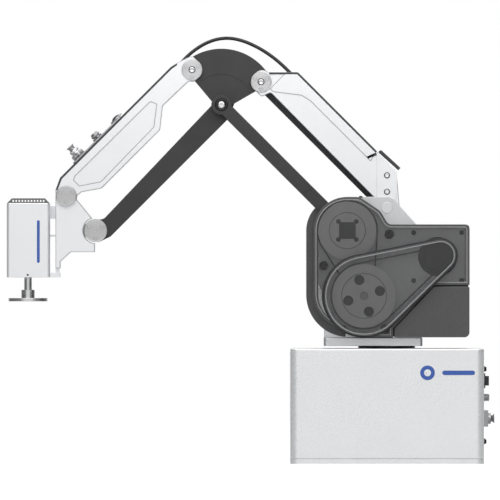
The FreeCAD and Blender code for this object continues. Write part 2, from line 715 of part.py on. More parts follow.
def rear_link_outline():
    place = link_frame(REAR_FOOT, dim("arm_angle"))
    corners = [
        (2, -10.5, 9), (15, -1.5, 6), (161, -0.5, 3), (164.5, -9.8, 3), (184.8, -9.8, 9), (184.8, 9.6, 8),
        (176, 12, 6), (156, 32.2, 4), (46.5, 32.2, 2), (43.5, 31.4, 1), (18, 31.4, 3), (-10, 8, 5), (-10, -4, 6),
    ]
    return outline([place(corner) for corner in corners])


def make_rear_link():
    """A channel, open underneath, with a raised upper band on each side."""
    place = link_frame(REAR_FOOT, dim("arm_angle"))
    band = outline([place(corner) for corner in (
        (137.5, 19.4, 4), (127.5, 21.6, 6), (44.5, 21.6), (46.8, 31.8, 2), (155.8, 31.8, 4), (163.5, 24.2),
        (163.5, 2), (160, 2))])
    wall = "dims.cheek_in"
    roof = outline([place(corner) for corner in ((47, 29.4), (151, 29.4), (153.5, 32.2), (47, 32.2))])
    body = new_body("rear_shell")
    full_pad(body, [roof], wall)
    holes = [circle(REAR_FOOT, 4.0), circle(REAR_HEAD, 4.0)]
    for side in (1, -1):
        side_pad(body, [rear_link_outline()] + holes, wall, "dims.cheek_thick", side)
        side_pad(body, [band], "dims.cheek_in + dims.cheek_thick", "dims.panel_rise", side)
    keep(body, "rear_shell")

    top, low = 304.0, 258.5
    front, rear = 9.9, -10.1
    shape = outline([(front, top, 1.5), (8.3, 305.5), (rear, 286.5, 1), (rear, low, 6), (front, low - 2, 6)])
    holes = [circle((-0.1, z), 1.6) for z in (283.2, 267.1)]
    plates = [side_plate("end_plate", [shape] + holes, "dims.cheek_in + dims.cheek_thick", "dims.panel_rise", side)
              for side in (1, -1)]
    screws = [y_cylinder("plate_screw", (-0.1, z), start, 1.5, 1.5) for z in (283.2, 267.1)
              for start in ("dims.cheek_in + dims.cheek_thick", "-dims.cheek_in - dims.cheek_thick - 1.5")]
    keep(group("rear_end_plates", plates + screws), "rear_end_plates")

    keep(group("rear_link_caps", pivot_caps("rear_cap", REAR_HEAD, "dims.cheek_in + dims.cheek_thick")), "rear_link_caps")


def pivot_caps(name, centre, face):
    """A cap disc with three screw recesses, on the pin that it closes, on each side."""
    caps = []
    outer = "dims.cheek_in + dims.cheek_thick + dims.panel_rise + dims.cap_thick"
    relief = "0.5"
    for side, end in ((1, "near"), (-1, "far")):
        label = "%s_%s" % (name, end)
        disc = [circle(centre, dim("disc_radius"))]
        recesses = [circle(polar(centre, 6.9, 30 + 120 * count), 1.5) for count in range(3)]
        body = new_body(label + "_disc")
        side_pad(body, disc, face, "%s - (%s) - %s" % (outer, face, relief), side)
        side_pad(body, disc + recesses, "%s - %s" % (outer, relief), relief, side)
        length = "%s - dims.sector_in" % face
        pin = y_cylinder(label + "_pin", centre, side_start("dims.sector_in", length, side),
                         "dims.pin_radius - dims.running_gap", length)
        caps.append(fuse(label, [body, pin]))
    return caps


# ---- elbow sector ----

def sector_outline(radius, start, end):
    """A sector about the elbow that holds both link heads, with a round hub at the elbow."""
    hub = 10.0
    edge = 5.0
    lean = math.degrees(math.asin(edge / radius))
    first, last = start - lean, end + lean
    low_turn = start - 90
    high_turn = end + 90
    low_corner = polar(ELBOW, radius, first)
    high_corner = polar(ELBOW, radius, last)
    low_foot = polar(polar(ELBOW, edge, low_turn), math.sqrt(hub ** 2 - edge ** 2), start)
    high_foot = polar(polar(ELBOW, edge, high_turn), math.sqrt(hub ** 2 - edge ** 2), end)
    low_angle = math.degrees(math.atan2(low_foot[1] - ELBOW[1], low_foot[0] - ELBOW[0]))
    high_angle = math.degrees(math.atan2(high_foot[1] - ELBOW[1], high_foot[0] - ELBOW[0]))
    return [
        arc(ELBOW, radius, first, last),
        line(high_corner, high_foot),
        arc(ELBOW, hub, high_angle, low_angle + 360),
        line(low_foot, low_corner),
    ]


def make_elbow_sector():
    """Two equal plates joined by a curved rim, over which the cable passes."""
    start, end = dim("front_crank_angle"), dim("rear_crank_angle")
    radius = dim("sector_radius")
    holes = [circle(ELBOW, 5.05), circle(REAR_HEAD, 4.0), circle(FRONT_HEAD, 4.0)]
    body = new_body("elbow_sector")
    rim_first, rim_last, rim_in = 60.0, 122.0, 51.5
    rim = [
        arc(ELBOW, radius, rim_first, rim_last),
        line(polar(ELBOW, radius, rim_last), polar(ELBOW, rim_in, rim_last)),
        arc(ELBOW, rim_in, rim_first, rim_last),
        line(polar(ELBOW, rim_in, rim_first), polar(ELBOW, radius, rim_first)),
    ]
    full_pad(body, [rim], "dims.sector_in")
    step = dim("sector_step_radius")
    band = [
        arc(ELBOW, radius, start - 5.2, end + 5.2),
        line(polar(ELBOW, radius, end + 5.2), polar(ELBOW, step, end + 9.5)),
        arc(ELBOW, step, start - 9.5, end + 9.5),
        line(polar(ELBOW, step, start - 9.5), polar(ELBOW, radius, start - 5.2)),
    ]
    for side in (1, -1):
        side_pad(body, [sector_outline(radius, start, end)] + holes, "dims.sector_in",
                 "dims.sector_thick - 0.8", side)
        side_pad(body, [band] + holes[1:], "dims.sector_in + dims.sector_thick - 0.8", "0.8", side)
    keep(body, "elbow_sector")


# ---- forearm ----

def make_forearm():
    """Two bars from the wrist past the elbow to a short tail that the drive rod moves."""
    place = link_frame(ELBOW, -dim("arm_angle"), -1)
    length = dim("link_length")
    tail = dim("drive_crank")
    corners = [
        (-tail - 6.5, -6, 5.5), (-tail - 6.5, 6, 5.5), (-12, 7, 6), (4, 14.3, 6), (length - 6, 14.3, 2),
        (length + 9, 9, 8), (length + 9, -8, 8), (length - 4, -9.5, 6), (length - 14, -2.5, 6), (-12, -7, 6),
    ]
    shape = outline([place(corner) for corner in corners])
    holes = [circle(ELBOW, 5.05), circle(WRIST, 4.0), circle(DRIVE_HEAD, 3.0)]
    for name, side in (("forearm_bar_near", 1), ("forearm_bar_far", -1)):
        keep(side_plate(name, [shape] + holes, "dims.forearm_in", "dims.forearm_thick", side), name)
    keep(y_cylinder("tail_pin", DRIVE_HEAD, "-dims.forearm_in - dims.forearm_thick", 3.0,
                    "2 * (dims.forearm_in + dims.forearm_thick)"), "tail_pin")

    recesses = [circle(polar(WRIST, 7.4, 30 + 120 * count), 1.5) for count in range(3)]
    pieces = [y_cylinder("wrist_axle", WRIST, "-dims.forearm_in - dims.forearm_thick", 4.0,
                         "2 * (dims.forearm_in + dims.forearm_thick)")]
    for side in (1, -1):
        face = [circle(WRIST, dim("wrist_disc_radius"))]
        pieces.append(side_plate("wrist_disc_back", face, "dims.forearm_in + dims.forearm_thick", "3", side))
        pieces.append(side_plate("wrist_disc", face + recesses, "dims.forearm_in + dims.forearm_thick + 3",
                                 "dims.cap_thick", side))
    keep(fuse("wrist_pins", pieces), "wrist_pins")


# ---- front link ----

FRONT_FRAME = link_frame(FRONT_HEAD, -dim("arm_angle"), 1)


def front_link_outline():
    length = dim("link_length")
    corners = [
        (-10, 2, 8), (-10, 9.9, 5), (4, 14.6, 6), (13, 16.6, 3), (length - 8, 16.6, 4), (length + 4, 11, 6),
        (length + 10, 4, 7), (length + 6, -9.5, 9), (length - 6, -7.2, 4), (162, -7.9, 3), (145.7, -19.3, 6),
        (64, -19.3, 5), (45.5, -4.4, 5), (10, -5.5, 3), (6, -10.5, 6), (-8, -8, 7),
    ]
    return outline([FRONT_FRAME(corner) for corner in corners])


def make_front_link():
    """A channel, open underneath, with a shallow panel on each side and fittings on its top face."""
    panel = outline([FRONT_FRAME(corner) for corner in (
        (50.5, 7.4, 3), (47.9, 0.4, 1), (66.4, -13.8, 4), (141.5, -15, 4), (159.7, -2.7, 1.5), (159.7, 6, 1),
        (155.2, 7.9, 1))])
    roof = outline([FRONT_FRAME(corner) for corner in (
        (20, 13.8), (20, 16.6), (dim("link_length") - 8, 16.6, 2), (dim("link_length") - 2, 13.9, 1),
        (dim("link_length") - 8, 13.8))])
    holes = [circle(FRONT_HEAD, 4.0), circle(FRONT_FOOT, 4.0)]
    body = new_body("front_shell")
    full_pad(body, [roof], "dims.cheek_in")
    for side in (1, -1):
        side_pad(body, [front_link_outline()] + holes, "dims.cheek_in", "dims.cheek_thick", side)
        side_pad(body, [front_link_outline(), panel] + holes, "dims.cheek_in + dims.cheek_thick",
                 "dims.panel_rise - 0.4", side)
    keep(body, "front_shell")
    face = "dims.cheek_in + dims.cheek_thick + dims.panel_rise - 0.4"
    caps = pivot_caps("front_cap", FRONT_HEAD, face) + pivot_caps("foot_cap", FRONT_FOOT, face)
    keep(group("front_link_caps", caps), "front_link_caps")


OUTWARD = FreeCAD.Rotation(Vector(0, 1, 0), dim("arm_angle"))


def on_front_link(along, across, sideways=0.0):
    x, z = FRONT_FRAME((along, across))
    return [x, sideways, z]


def make_front_fittings():
    """The teaching button, the signal socket and the air fitting on the front link's top face."""
    face = 16.6
    pad_thick = 1.6
    pad = block("fitting_pad", on_front_link(81.9, face, -11), (66, 22, pad_thick),
                FreeCAD.Rotation(Vector(0, 1, 0), dim("arm_angle")))
    stem = cylinder("button_ring", OUTWARD, on_front_link(86.7, face + pad_thick), 7.2, 1.6)
    well = cylinder("button_well", OUTWARD, on_front_link(86.7, face + 0.2), 5.2, 5)
    core = cylinder("socket_core", OUTWARD, on_front_link(113, face + pad_thick), 3.9, 6.6)
    mouth = cylinder("socket_mouth", OUTWARD, on_front_link(113, face + 4), 2.6, 6)
    rim = cylinder("socket_rim", OUTWARD, on_front_link(113, face + 6.4), 4.6, 1.8)
    solid = fuse("signal_solid", [pad, stem, core, rim])
    keep(cut("signal_socket", solid, fuse("signal_holes", [well, mouth])), "signal_socket")

    dome = cylinder("button_dome", OUTWARD, on_front_link(86.7, face + 1.6), 5.1, 3.4)
    keep(dome, "teach_button")

    nut = prism("air_nut", OUTWARD, on_front_link(138.6, face + pad_thick), 7.0, 4.6)
    waist = cylinder("air_waist", OUTWARD, on_front_link(138.6, face + 6), 5.0, 5.2)
    tip = cylinder("air_tip", OUTWARD, on_front_link(138.6, face + 11), 3.2, 3.6)
    lip = cylinder("air_lip", OUTWARD, on_front_link(138.6, face + 14.4), 4.4, 1.0)
    bore = cylinder("tool_air_bore", OUTWARD, on_front_link(138.6, face + 6), 2.1, 12)
    keep(cut("tool_air_fitting", fuse("tool_air_solid", [nut, waist, tip, lip]), bore), "tool_air_fitting")


# ---- wrist and tool ----

def from_wrist(corners):
    return [(WRIST[0] + corner[0], WRIST[1] + corner[1]) + tuple(corner[2:]) for corner in corners]


def make_wrist_bracket():
    """Two side plates cut away round the wrist pivot, a front wall and a hub between the bars."""
    clear = dim("wrist_disc_radius") + 1.2
    upper = (3.6, math.sqrt(clear ** 2 - 3.6 ** 2))
    lower = (1.0, -math.sqrt(clear ** 2 - 1.0))
    wall_front = 39.4
    crown = (FRONT_FOOT[0] - WRIST[0], FRONT_FOOT[1] - WRIST[1])
    chain = from_wrist([lower, (1.0, -21.1), (24.6, -21.1), (34.9, -30.5), (34.9, -37), (wall_front, -37),
                        (wall_front, crown[1])])
    top_right = from_wrist([(19.0, 30.7), upper])
    edges = [line(chain[index], chain[index + 1]) for index in range(len(chain) - 1)]
    radius = wall_front - crown[0]
    leave = math.degrees(math.atan2(30.7 - crown[1], 19.0 - crown[0])) + 360
    edges.append(arc(FRONT_FOOT, radius, 0, leave))
    edges.append(line(polar(FRONT_FOOT, radius, leave), top_right[1]))
    first = math.degrees(math.atan2(lower[1], lower[0]))
    last = math.degrees(math.atan2(upper[1], upper[0]))
    edges.append(arc(WRIST, clear, first, last))
    body = new_body("bracket_plates")
    holes = [circle(FRONT_FOOT, 4.1)]
    for side in (1, -1):
        side_pad(body, [edges] + holes, "dims.sector_in", "dims.sector_thick", side)
    wall = outline(from_wrist([(36, -41.4), (wall_front, -41.4), (wall_front, 30), (36, 30)]))
    full_pad(body, [wall], "dims.sector_in")
    foot = outline(from_wrist([(34.9, -46.1), (44.4, -46.1), (44.4, -41.4), (34.9, -41.4)]))
    full_pad(body, [foot], "dims.sector_in")
    blocks = outline(from_wrist([(wall_front, 11.8), (45.2, 11.8), (45.2, 24.1), (wall_front, 24.1)]))
    full_pad(body, [blocks], "14")
    link = outline(from_wrist([(wall_front, -6), (45.2, -6), (45.2, -4.1), (wall_front, -4.1)]))
    full_pad(body, [link], "14")
    rib = outline(from_wrist([(4, -6), (36, -10), (36, 10), (4, 6)]))
    full_pad(body, [rib], "9")
    hub = y_cylinder("wrist_hub", WRIST, -16.5, 8.5, 33)
    bore = y_cylinder("wrist_bore", WRIST, -17, 4.05, 34)
    keep(cut("wrist_bracket", fuse("bracket_solid", [body, hub]), bore), "wrist_bracket")


HEAD_REAR, HEAD_FRONT = 45.2, 87.5
HEAD_BOTTOM, HEAD_TOP = -46.1, 27.1
HEAD_HALF_WIDTH = 24.0


def make_end_head():
    """The tool head: a housing with a vented cap, and the motor that turns the flange."""
    low = (WRIST[0] + HEAD_REAR, -HEAD_HALF_WIDTH)
    high = (WRIST[0] + HEAD_FRONT, HEAD_HALF_WIDTH)
    wall = 1.8
    skin = rectangle(low, high, 3)
    hollow = rectangle((low[0] + wall, low[1] + wall), (high[0] - wall, high[1] - wall), 1.5)
    body = new_body("end_housing")
    floor_pad(body, [skin, circle((TOOL_X, 0), 8)], str(WRIST[1] + HEAD_BOTTOM), str(wall))
    floor_pad(body, [skin, hollow], str(WRIST[1] + HEAD_BOTTOM + wall),
              str(HEAD_TOP - HEAD_BOTTOM - wall))
    keep(body, "end_housing")

    cap = doc.addObject("Part::Wedge", "vent_cap_solid")
    cap_height = 4.7
    lean = 4.5
    length = HEAD_FRONT - HEAD_REAR - 0.8
    width = 2 * HEAD_HALF_WIDTH - 0.8
    for label, value in {
        "Xmin": 0, "Xmax": length, "Zmin": 0, "Zmax": width, "Ymin": 0, "Ymax": cap_height,
        "X2min": lean, "X2max": length - lean, "Z2min": lean, "Z2max": width - lean,
    }.items():
        setattr(cap, label, value)
    cap.Placement = FreeCAD.Placement(Vector(low[0] + 0.4, width / 2, WRIST[1] + HEAD_TOP),
                                      FreeCAD.Rotation(Vector(1, 0, 0), 90))
    slots = [block("vent_slot", (WRIST[0] + HEAD_REAR + 5.2 + 3.0 * count, -30, WRIST[1] + HEAD_TOP + 1.2),
                   (1.9, 60, 1.9)) for count in range(11)]
    keep(cut("vent_cap", cap, fuse("vent_slots", slots)), "vent_cap")

    motor_side = 35.0
    case = block("wrist_motor_case", (TOOL_X - motor_side / 2, -motor_side / 2, WRIST[1] - 26),
                 (motor_side, motor_side, 34))
    gearbox = tube("wrist_gearbox", "z", (TOOL_X, 0, WRIST[1] - 44.2), 15, 5.2, 18.2)
    keep(fuse("wrist_motor", [case, gearbox]), "wrist_motor")


def make_tool():
    flange_bottom = dim("flange_bottom")
    head_bottom = WRIST[1] + HEAD_BOTTOM
    shaft = cylinder("tool_shaft", "z", (TOOL_X, 0, flange_bottom + 6.5), 3.75,
                     WRIST[1] - 27 - flange_bottom - 6.5)
    keep(shaft, "output_shaft")

    holes = [circle(polar((TOOL_X, 0), 14.0, 45 + 90 * count), 1.65) for count in range(4)]
    body = new_body("flange_disc")
    floor_pad(body, [circle((TOOL_X, 0), dim("flange_radius"))] + holes, "dims.flange_bottom", "dims.flange_thick")
    collar = tube("flange_collar", "z", (TOOL_X, 0, "dims.flange_bottom + dims.flange_thick"), 6.6, 3.75,
                  head_bottom - 12.2 - flange_bottom - dim("flange_thick"))
    keep(fuse("tool_flange", [body, collar]), "tool_flange")


# ---- cable over the elbow ----

def make_elbow_cable():
    """Straight runs joined by tangent arcs, from the rear shell over the sector to the front shell."""
    route = [(-83, 14.5), (-68.5, 32), (-44, 53), (-16, 66), (7, 65.5), (29.5, 53), (46, 34), (54, 21.5)]
    points = [Vector(ELBOW[0] + x, 0, ELBOW[1] + z) for x, z in route]
    edges = []
    start = points[0]
    for before, here, after in zip(points, points[1:], points[2:]):
        arrive = (before - here)
        leave = (after - here)
        reach = 0.45 * min(arrive.Length, leave.Length)
        first = here + arrive.normalize() * reach
        last = here + leave.normalize() * reach
        half = arrive.getAngle(leave) / 2
        inward = (arrive + leave).normalize()
        radius = reach * math.tan(half)
        centre = here + inward * (radius / math.sin(half))
        edges.append(Part.LineSegment(start, first).toShape())
        edges.append(Part.Arc(first, centre - inward * radius, last).toShape())
        print("cable bend radius %.1f mm" % radius)
        start = last
    edges.append(Part.LineSegment(start, points[-1]).toShape())
    path = Part.Wire(edges)
    heading = (points[1] - points[0]).normalize()
    ring = Part.Wire([Part.Circle(points[0], heading, dim("cable_radius")).toShape()])
    solid = path.makePipeShell([ring], True, False)
    cable = doc.addObject("Part::Feature", "elbow_cable")
    cable.Shape = solid
    area = math.pi * dim("cable_radius") ** 2
    print("cable length %.1f mm, volume over section %.1f mm" % (path.Length, solid.Volume / area))
    keep(cable, "elbow_cable")


def make_everything():
    make_base_housing()
    make_base_plate()
    make_control_board()
    make_yaw_drive()
    make_rear_ports()
    make_turntable()
    make_frame_plates()
    make_frame_fittings()
    make_side_cover("side_cover_near", 1)
    make_side_cover("side_cover_far", -1)
    make_rear_case()
    make_front_cover()
    make_motor_cover()
    for joint, side in (("shoulder", 1), ("elbow", -1)):
        make_motor(joint + "_motor", side)
        make_motor_pulley(joint + "_motor_pulley", side)
        make_mid_pulley(joint + "_mid_pulley", side)
        make_belts(joint + "_belts", side)
    make_lower_arm()
    make_elbow_drive()
    make_rear_link()
    make_elbow_sector()
    make_forearm()
    make_front_link()
    make_front_fittings()
    make_wrist_bracket()
    make_end_head()
    make_tool()
    make_elbow_cable()


make_everything()
doc.recompute()

failed = [item.Name for item in doc.Objects if {"Invalid", "Error"} & set(item.State)]
if failed:
    raise RuntimeError("failed objects: " + ", ".join(failed))
os.makedirs("parts", exist_ok=True)
for node in NODES:
    if node.Shape.isNull() or not node.Shape.Solids or not node.Shape.isValid():
        raise RuntimeError("bad shape: " + node.Label)
for node in NODES:
    node.Shape.exportStep("parts/%s.step" % node.Label)
print("wrote %d sub-parts" % len(NODES))
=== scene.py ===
import json
import math

import bmesh
import bpy
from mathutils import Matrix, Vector


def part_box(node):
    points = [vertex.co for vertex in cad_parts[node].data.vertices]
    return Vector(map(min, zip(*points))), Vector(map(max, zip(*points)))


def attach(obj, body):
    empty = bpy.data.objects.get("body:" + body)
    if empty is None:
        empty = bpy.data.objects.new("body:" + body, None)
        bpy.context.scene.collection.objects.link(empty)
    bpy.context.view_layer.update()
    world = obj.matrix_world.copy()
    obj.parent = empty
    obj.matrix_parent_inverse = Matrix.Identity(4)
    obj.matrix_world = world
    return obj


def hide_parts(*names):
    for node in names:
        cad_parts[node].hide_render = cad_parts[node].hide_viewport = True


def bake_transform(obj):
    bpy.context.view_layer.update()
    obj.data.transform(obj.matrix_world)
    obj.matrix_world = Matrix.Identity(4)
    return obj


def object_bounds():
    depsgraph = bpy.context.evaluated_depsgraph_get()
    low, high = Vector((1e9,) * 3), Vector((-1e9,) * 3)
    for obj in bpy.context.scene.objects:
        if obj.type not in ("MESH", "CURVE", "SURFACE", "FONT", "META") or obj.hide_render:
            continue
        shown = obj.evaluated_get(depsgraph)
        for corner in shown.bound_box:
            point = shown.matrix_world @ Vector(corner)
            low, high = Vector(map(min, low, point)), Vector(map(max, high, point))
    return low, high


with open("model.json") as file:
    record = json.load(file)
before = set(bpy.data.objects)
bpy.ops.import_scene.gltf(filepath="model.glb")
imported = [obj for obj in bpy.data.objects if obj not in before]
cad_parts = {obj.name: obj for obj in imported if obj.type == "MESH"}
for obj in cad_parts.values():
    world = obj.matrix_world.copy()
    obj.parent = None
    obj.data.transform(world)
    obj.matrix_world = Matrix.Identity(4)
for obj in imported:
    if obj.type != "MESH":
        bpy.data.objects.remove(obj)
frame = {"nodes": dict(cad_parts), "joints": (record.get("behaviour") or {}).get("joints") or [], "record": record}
cad_low, cad_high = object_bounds()
NODES = frame["nodes"]
JOINTS = {joint["name"]: joint for joint in frame["joints"]}
scene = bpy.context.scene

# Sizes are in millimetres and MM turns them into metres. "near" is the +Y side, "far" the -Y side.
MM = 0.001
Y_AXIS = Vector((0, 1, 0))
OUTWARD = Vector((1, 0, 1)).normalized()
ALONG_FRONT = Vector((1, 0, -1)).normalized()


# ---- camera, light and floor ----

VIEW_WIDTH = 492.5 * MM
CAMERA_DISTANCE = 20.0
SENSOR = 36.0


def make_camera():
    """A long lens on the +Y side, level with the middle of the arm."""
    middle = (cad_low + cad_high) / 2
    data = bpy.data.cameras.new("camera")
    data.sensor_width = SENSOR
    data.lens = SENSOR * CAMERA_DISTANCE / VIEW_WIDTH
    data.clip_end = 100
    camera = bpy.data.objects.new("camera", data)
    camera.location = (middle.x + 0.6 * MM, CAMERA_DISTANCE, middle.z - 0.3 * MM)
    camera.rotation_euler = (math.radians(90), 0, math.radians(180))
    scene.collection.objects.link(camera)
    scene.camera = camera


def area_light(name, place, target, size, power):
    data = bpy.data.lights.new(name, "AREA")
    data.shape = "RECTANGLE"
    data.size, data.size_y = size
    data.energy = power
    lamp = bpy.data.objects.new(name, data)
    lamp.location = place
    lamp.rotation_mode = "QUATERNION"
    lamp.rotation_quaternion = (Vector(target) - Vector(place)).to_track_quat("-Z", "Y")
    scene.collection.objects.link(lamp)


def make_world():
    """A white studio that is darker to the left and right, so that edges which turn that way read dark."""
    world = bpy.data.worlds.new("studio")
    world.use_nodes = True
    scene.world = world
    nodes, links = world.node_tree.nodes, world.node_tree.links
    background = nodes["Background"]
    background.inputs["Color"].default_value = (1, 1, 1, 1)
    where = nodes.new("ShaderNodeTexCoord")
    split = nodes.new("ShaderNodeSeparateXYZ")
    size = nodes.new("ShaderNodeMath")
    size.operation = "ABSOLUTE"
    shade = nodes.new("ShaderNodeMapRange")
    shade.interpolation_type = "SMOOTHSTEP"
    shade.inputs["From Min"].default_value = 0.30
    shade.inputs["From Max"].default_value = 0.75
    shade.inputs["To Min"].default_value = 0.92
    shade.inputs["To Max"].default_value = 0.12
    path = nodes.new("ShaderNodeLightPath")
    seen = nodes.new("ShaderNodeMix")
    seen.inputs["B"].default_value = 1.0
    links.new(where.outputs["Generated"], split.inputs[0])
    links.new(split.outputs["X"], size.inputs[0])
    links.new(size.outputs[0], shade.inputs["Value"])
    links.new(path.outputs["Is Camera Ray"], seen.inputs["Factor"])
    links.new(shade.outputs["Result"], seen.inputs["A"])
    links.new(seen.outputs["Result"], background.inputs["Strength"])


def make_floor():
    half_width, half_depth = 3.0, 6.0
    mesh = bpy.data.meshes.new("floor")
    corners = [(-half_width, -half_depth, 0), (half_width, -half_depth, 0), (half_width, half_depth, 0),
               (-half_width, half_depth, 0)]
    mesh.from_pydata(corners, [], [(0, 1, 2, 3)])
    floor = bpy.data.objects.new("floor", mesh)
    scene.collection.objects.link(floor)
    paint = finish("floor_paint", (0.62, 0.62, 0.62), 0.7, mottle=0.01)
    nodes, links = paint.node_tree.nodes, paint.node_tree.links
    glow = nodes.new("ShaderNodeMath")
    glow.operation = "MULTIPLY"
    glow.inputs[1].default_value = 0.55
    links.new(nodes.new("ShaderNodeLightPath").outputs["Is Camera Ray"], glow.inputs[0])
    nodes["Principled BSDF"].inputs["Emission Color"].default_value = (1, 1, 1, 1)
    links.new(glow.outputs[0], nodes["Principled BSDF"].inputs["Emission Strength"])
    mesh.materials.append(paint)


# ---- materials ----

def finish(name, colour, roughness, metal=0.0, grain=900.0, bump=0.04, mottle=0.05, uneven=0.06,
           stretch=(1, 1, 1), coat=0.0):
    """A surface whose colour varies in soft patches, and whose grain shows in roughness and relief."""
    material = bpy.data.materials.new(name)
    material.use_nodes = True
    nodes, links = material.node_tree.nodes, material.node_tree.links
    shader = nodes["Principled BSDF"]
    shader.inputs["Metallic"].default_value = metal
    shader.inputs["Coat Weight"].default_value = coat
    shader.inputs["Coat Roughness"].default_value = 0.12
    where = nodes.new("ShaderNodeTexCoord")
    scale = nodes.new("ShaderNodeMapping")
    scale.inputs["Scale"].default_value = stretch
    links.new(where.outputs["Object"], scale.inputs["Vector"])

    patches = nodes.new("ShaderNodeTexNoise")
    patches.inputs["Scale"].default_value = 28.0
    patches.inputs["Detail"].default_value = 3.0
    links.new(where.outputs["Object"], patches.inputs["Vector"])
    tint = nodes.new("ShaderNodeValToRGB")
    for element, position, factor in ((tint.color_ramp.elements[0], 0.3, 1 - mottle),
                                      (tint.color_ramp.elements[1], 0.7, 1 + mottle)):
        element.position = position
        element.color = [min(1.0, channel * factor) for channel in colour] + [1.0]
    links.new(patches.outputs["Fac"], tint.inputs["Fac"])
    links.new(tint.outputs["Color"], shader.inputs["Base Color"])

    specks = nodes.new("ShaderNodeTexNoise")
    specks.inputs["Scale"].default_value = grain
    specks.inputs["Detail"].default_value = 4.0
    links.new(scale.outputs["Vector"], specks.inputs["Vector"])
    rough = nodes.new("ShaderNodeMapRange")
    rough.inputs["From Min"].default_value = 0.3
    rough.inputs["From Max"].default_value = 0.7
    rough.inputs["To Min"].default_value = max(0.02, roughness - uneven)
    rough.inputs["To Max"].default_value = roughness + uneven
    links.new(specks.outputs["Fac"], rough.inputs["Value"])
    links.new(rough.outputs["Result"], shader.inputs["Roughness"])
    relief = nodes.new("ShaderNodeBump")
    relief.inputs["Strength"].default_value = bump
    relief.inputs["Distance"].default_value = 0.2 * MM
    links.new(specks.outputs["Fac"], relief.inputs["Height"])
    links.new(relief.outputs["Normal"], shader.inputs["Normal"])
    return material


def turned_metal(name, colour, roughness):
    """Metal faced on a lathe: fine rings about the piece's own Y axis."""
    material = finish(name, colour, roughness, metal=1.0, grain=500.0)
    nodes, links = material.node_tree.nodes, material.node_tree.links
    rings = nodes.new("ShaderNodeTexWave")
    rings.wave_type = "RINGS"
    rings.rings_direction = "Y"
    rings.inputs["Scale"].default_value = 700.0
    rings.inputs["Distortion"].default_value = 1.5
    links.new(nodes["Texture Coordinate"].outputs["Object"], rings.inputs["Vector"])
    relief = nodes["Bump"]
    relief.inputs["Strength"].default_value = 0.12
    links.new(rings.outputs["Color"], relief.inputs["Height"])
    return material


def see_through(material, face_on, edge_on):
    """Lets light through a thin wall: most where it is seen face on, least along its turned edges."""
    nodes, links = material.node_tree.nodes, material.node_tree.links
    angle = nodes.new("ShaderNodeLayerWeight")
    angle.inputs["Blend"].default_value = 0.5
    cover = nodes.new("ShaderNodeMapRange")
    cover.inputs["From Min"].default_value = 0.05
    cover.inputs["From Max"].default_value = 0.6
    cover.inputs["To Min"].default_value = face_on
    cover.inputs["To Max"].default_value = edge_on
    links.new(angle.outputs["Facing"], cover.inputs["Value"])
    links.new(cover.outputs["Result"], nodes["Principled BSDF"].inputs["Alpha"])
    return material


MATERIALS = {
    "silver_paint": finish("silver_paint", (0.82, 0.83, 0.84), 0.3, metal=0.6, grain=1600, bump=0.05,
                           mottle=0.012),
    "white_plastic": finish("white_shell", (0.85, 0.86, 0.88), 0.32, metal=0.65, grain=1500, bump=0.012,
                            mottle=0.01, uneven=0.03),
    "plate_metal": finish("plate_metal", (0.64, 0.65, 0.66), 0.33, metal=0.9, grain=260, bump=0.05,
                          stretch=(1, 1, 14), mottle=0.03),
    "grey_metal": finish("grey_metal", (0.40, 0.40, 0.41), 0.34, metal=0.9, grain=800, mottle=0.06),
    "pulley_metal": finish("pulley_metal", (0.93, 0.93, 0.94), 0.4, metal=0.1, grain=600, mottle=0.04),
    "steel": finish("steel", (0.74, 0.74, 0.75), 0.2, metal=1.0, grain=300, stretch=(1, 1, 12), mottle=0.04),
    "brushed_disc": turned_metal("turned_disc", (0.52, 0.52, 0.525), 0.36),
    "black_metal": finish("black_anodised", (0.030, 0.030, 0.031), 0.42, metal=0.2, grain=1400, bump=0.08,
                          mottle=0.12),
    "motor_black": finish("motor_black", (0.045, 0.045, 0.05), 0.4, metal=0.3, grain=700, mottle=0.1),
    "screw_black": finish("screw_black", (0.02, 0.02, 0.021), 0.32, metal=0.6, grain=900, mottle=0.1),
    "black_plastic": finish("black_plastic", (0.022, 0.022, 0.024), 0.42, grain=1200, bump=0.1, mottle=0.1),
    "dark_plastic": finish("dark_plastic", (0.055, 0.055, 0.057), 0.3, grain=1300, bump=0.06, mottle=0.05,
                           coat=0.3),
    "smoky_plastic": see_through(finish("smoky_plastic", (0.065, 0.065, 0.066), 0.2, grain=1100, bump=0.02,
                                        mottle=0.02, uneven=0.03, coat=0.5), 0.34, 0.95),
    # A pale grey that stands for the highlight on the covers' rounded edges: a painted highlight.
    "painted_edge_highlight": finish("painted_edge_highlight", (0.27, 0.27, 0.275), 0.25, grain=1100, bump=0.02, mottle=0.02,
                         coat=0.5),
    "belt_rubber": finish("belt_rubber", (0.025, 0.025, 0.025), 0.7, grain=1500, bump=0.2, mottle=0.15),
    "cable_rubber": finish("cable_rubber", (0.018, 0.018, 0.018), 0.45, grain=1800, bump=0.1, mottle=0.1),
    "board_green": finish("board_green", (0.03, 0.14, 0.07), 0.4, grain=500, mottle=0.2, coat=0.4),
    "badge_blue": finish("badge_blue", (0.022, 0.085, 0.36), 0.3, grain=900, mottle=0.03, coat=0.4),
}


# ---- meshes ----

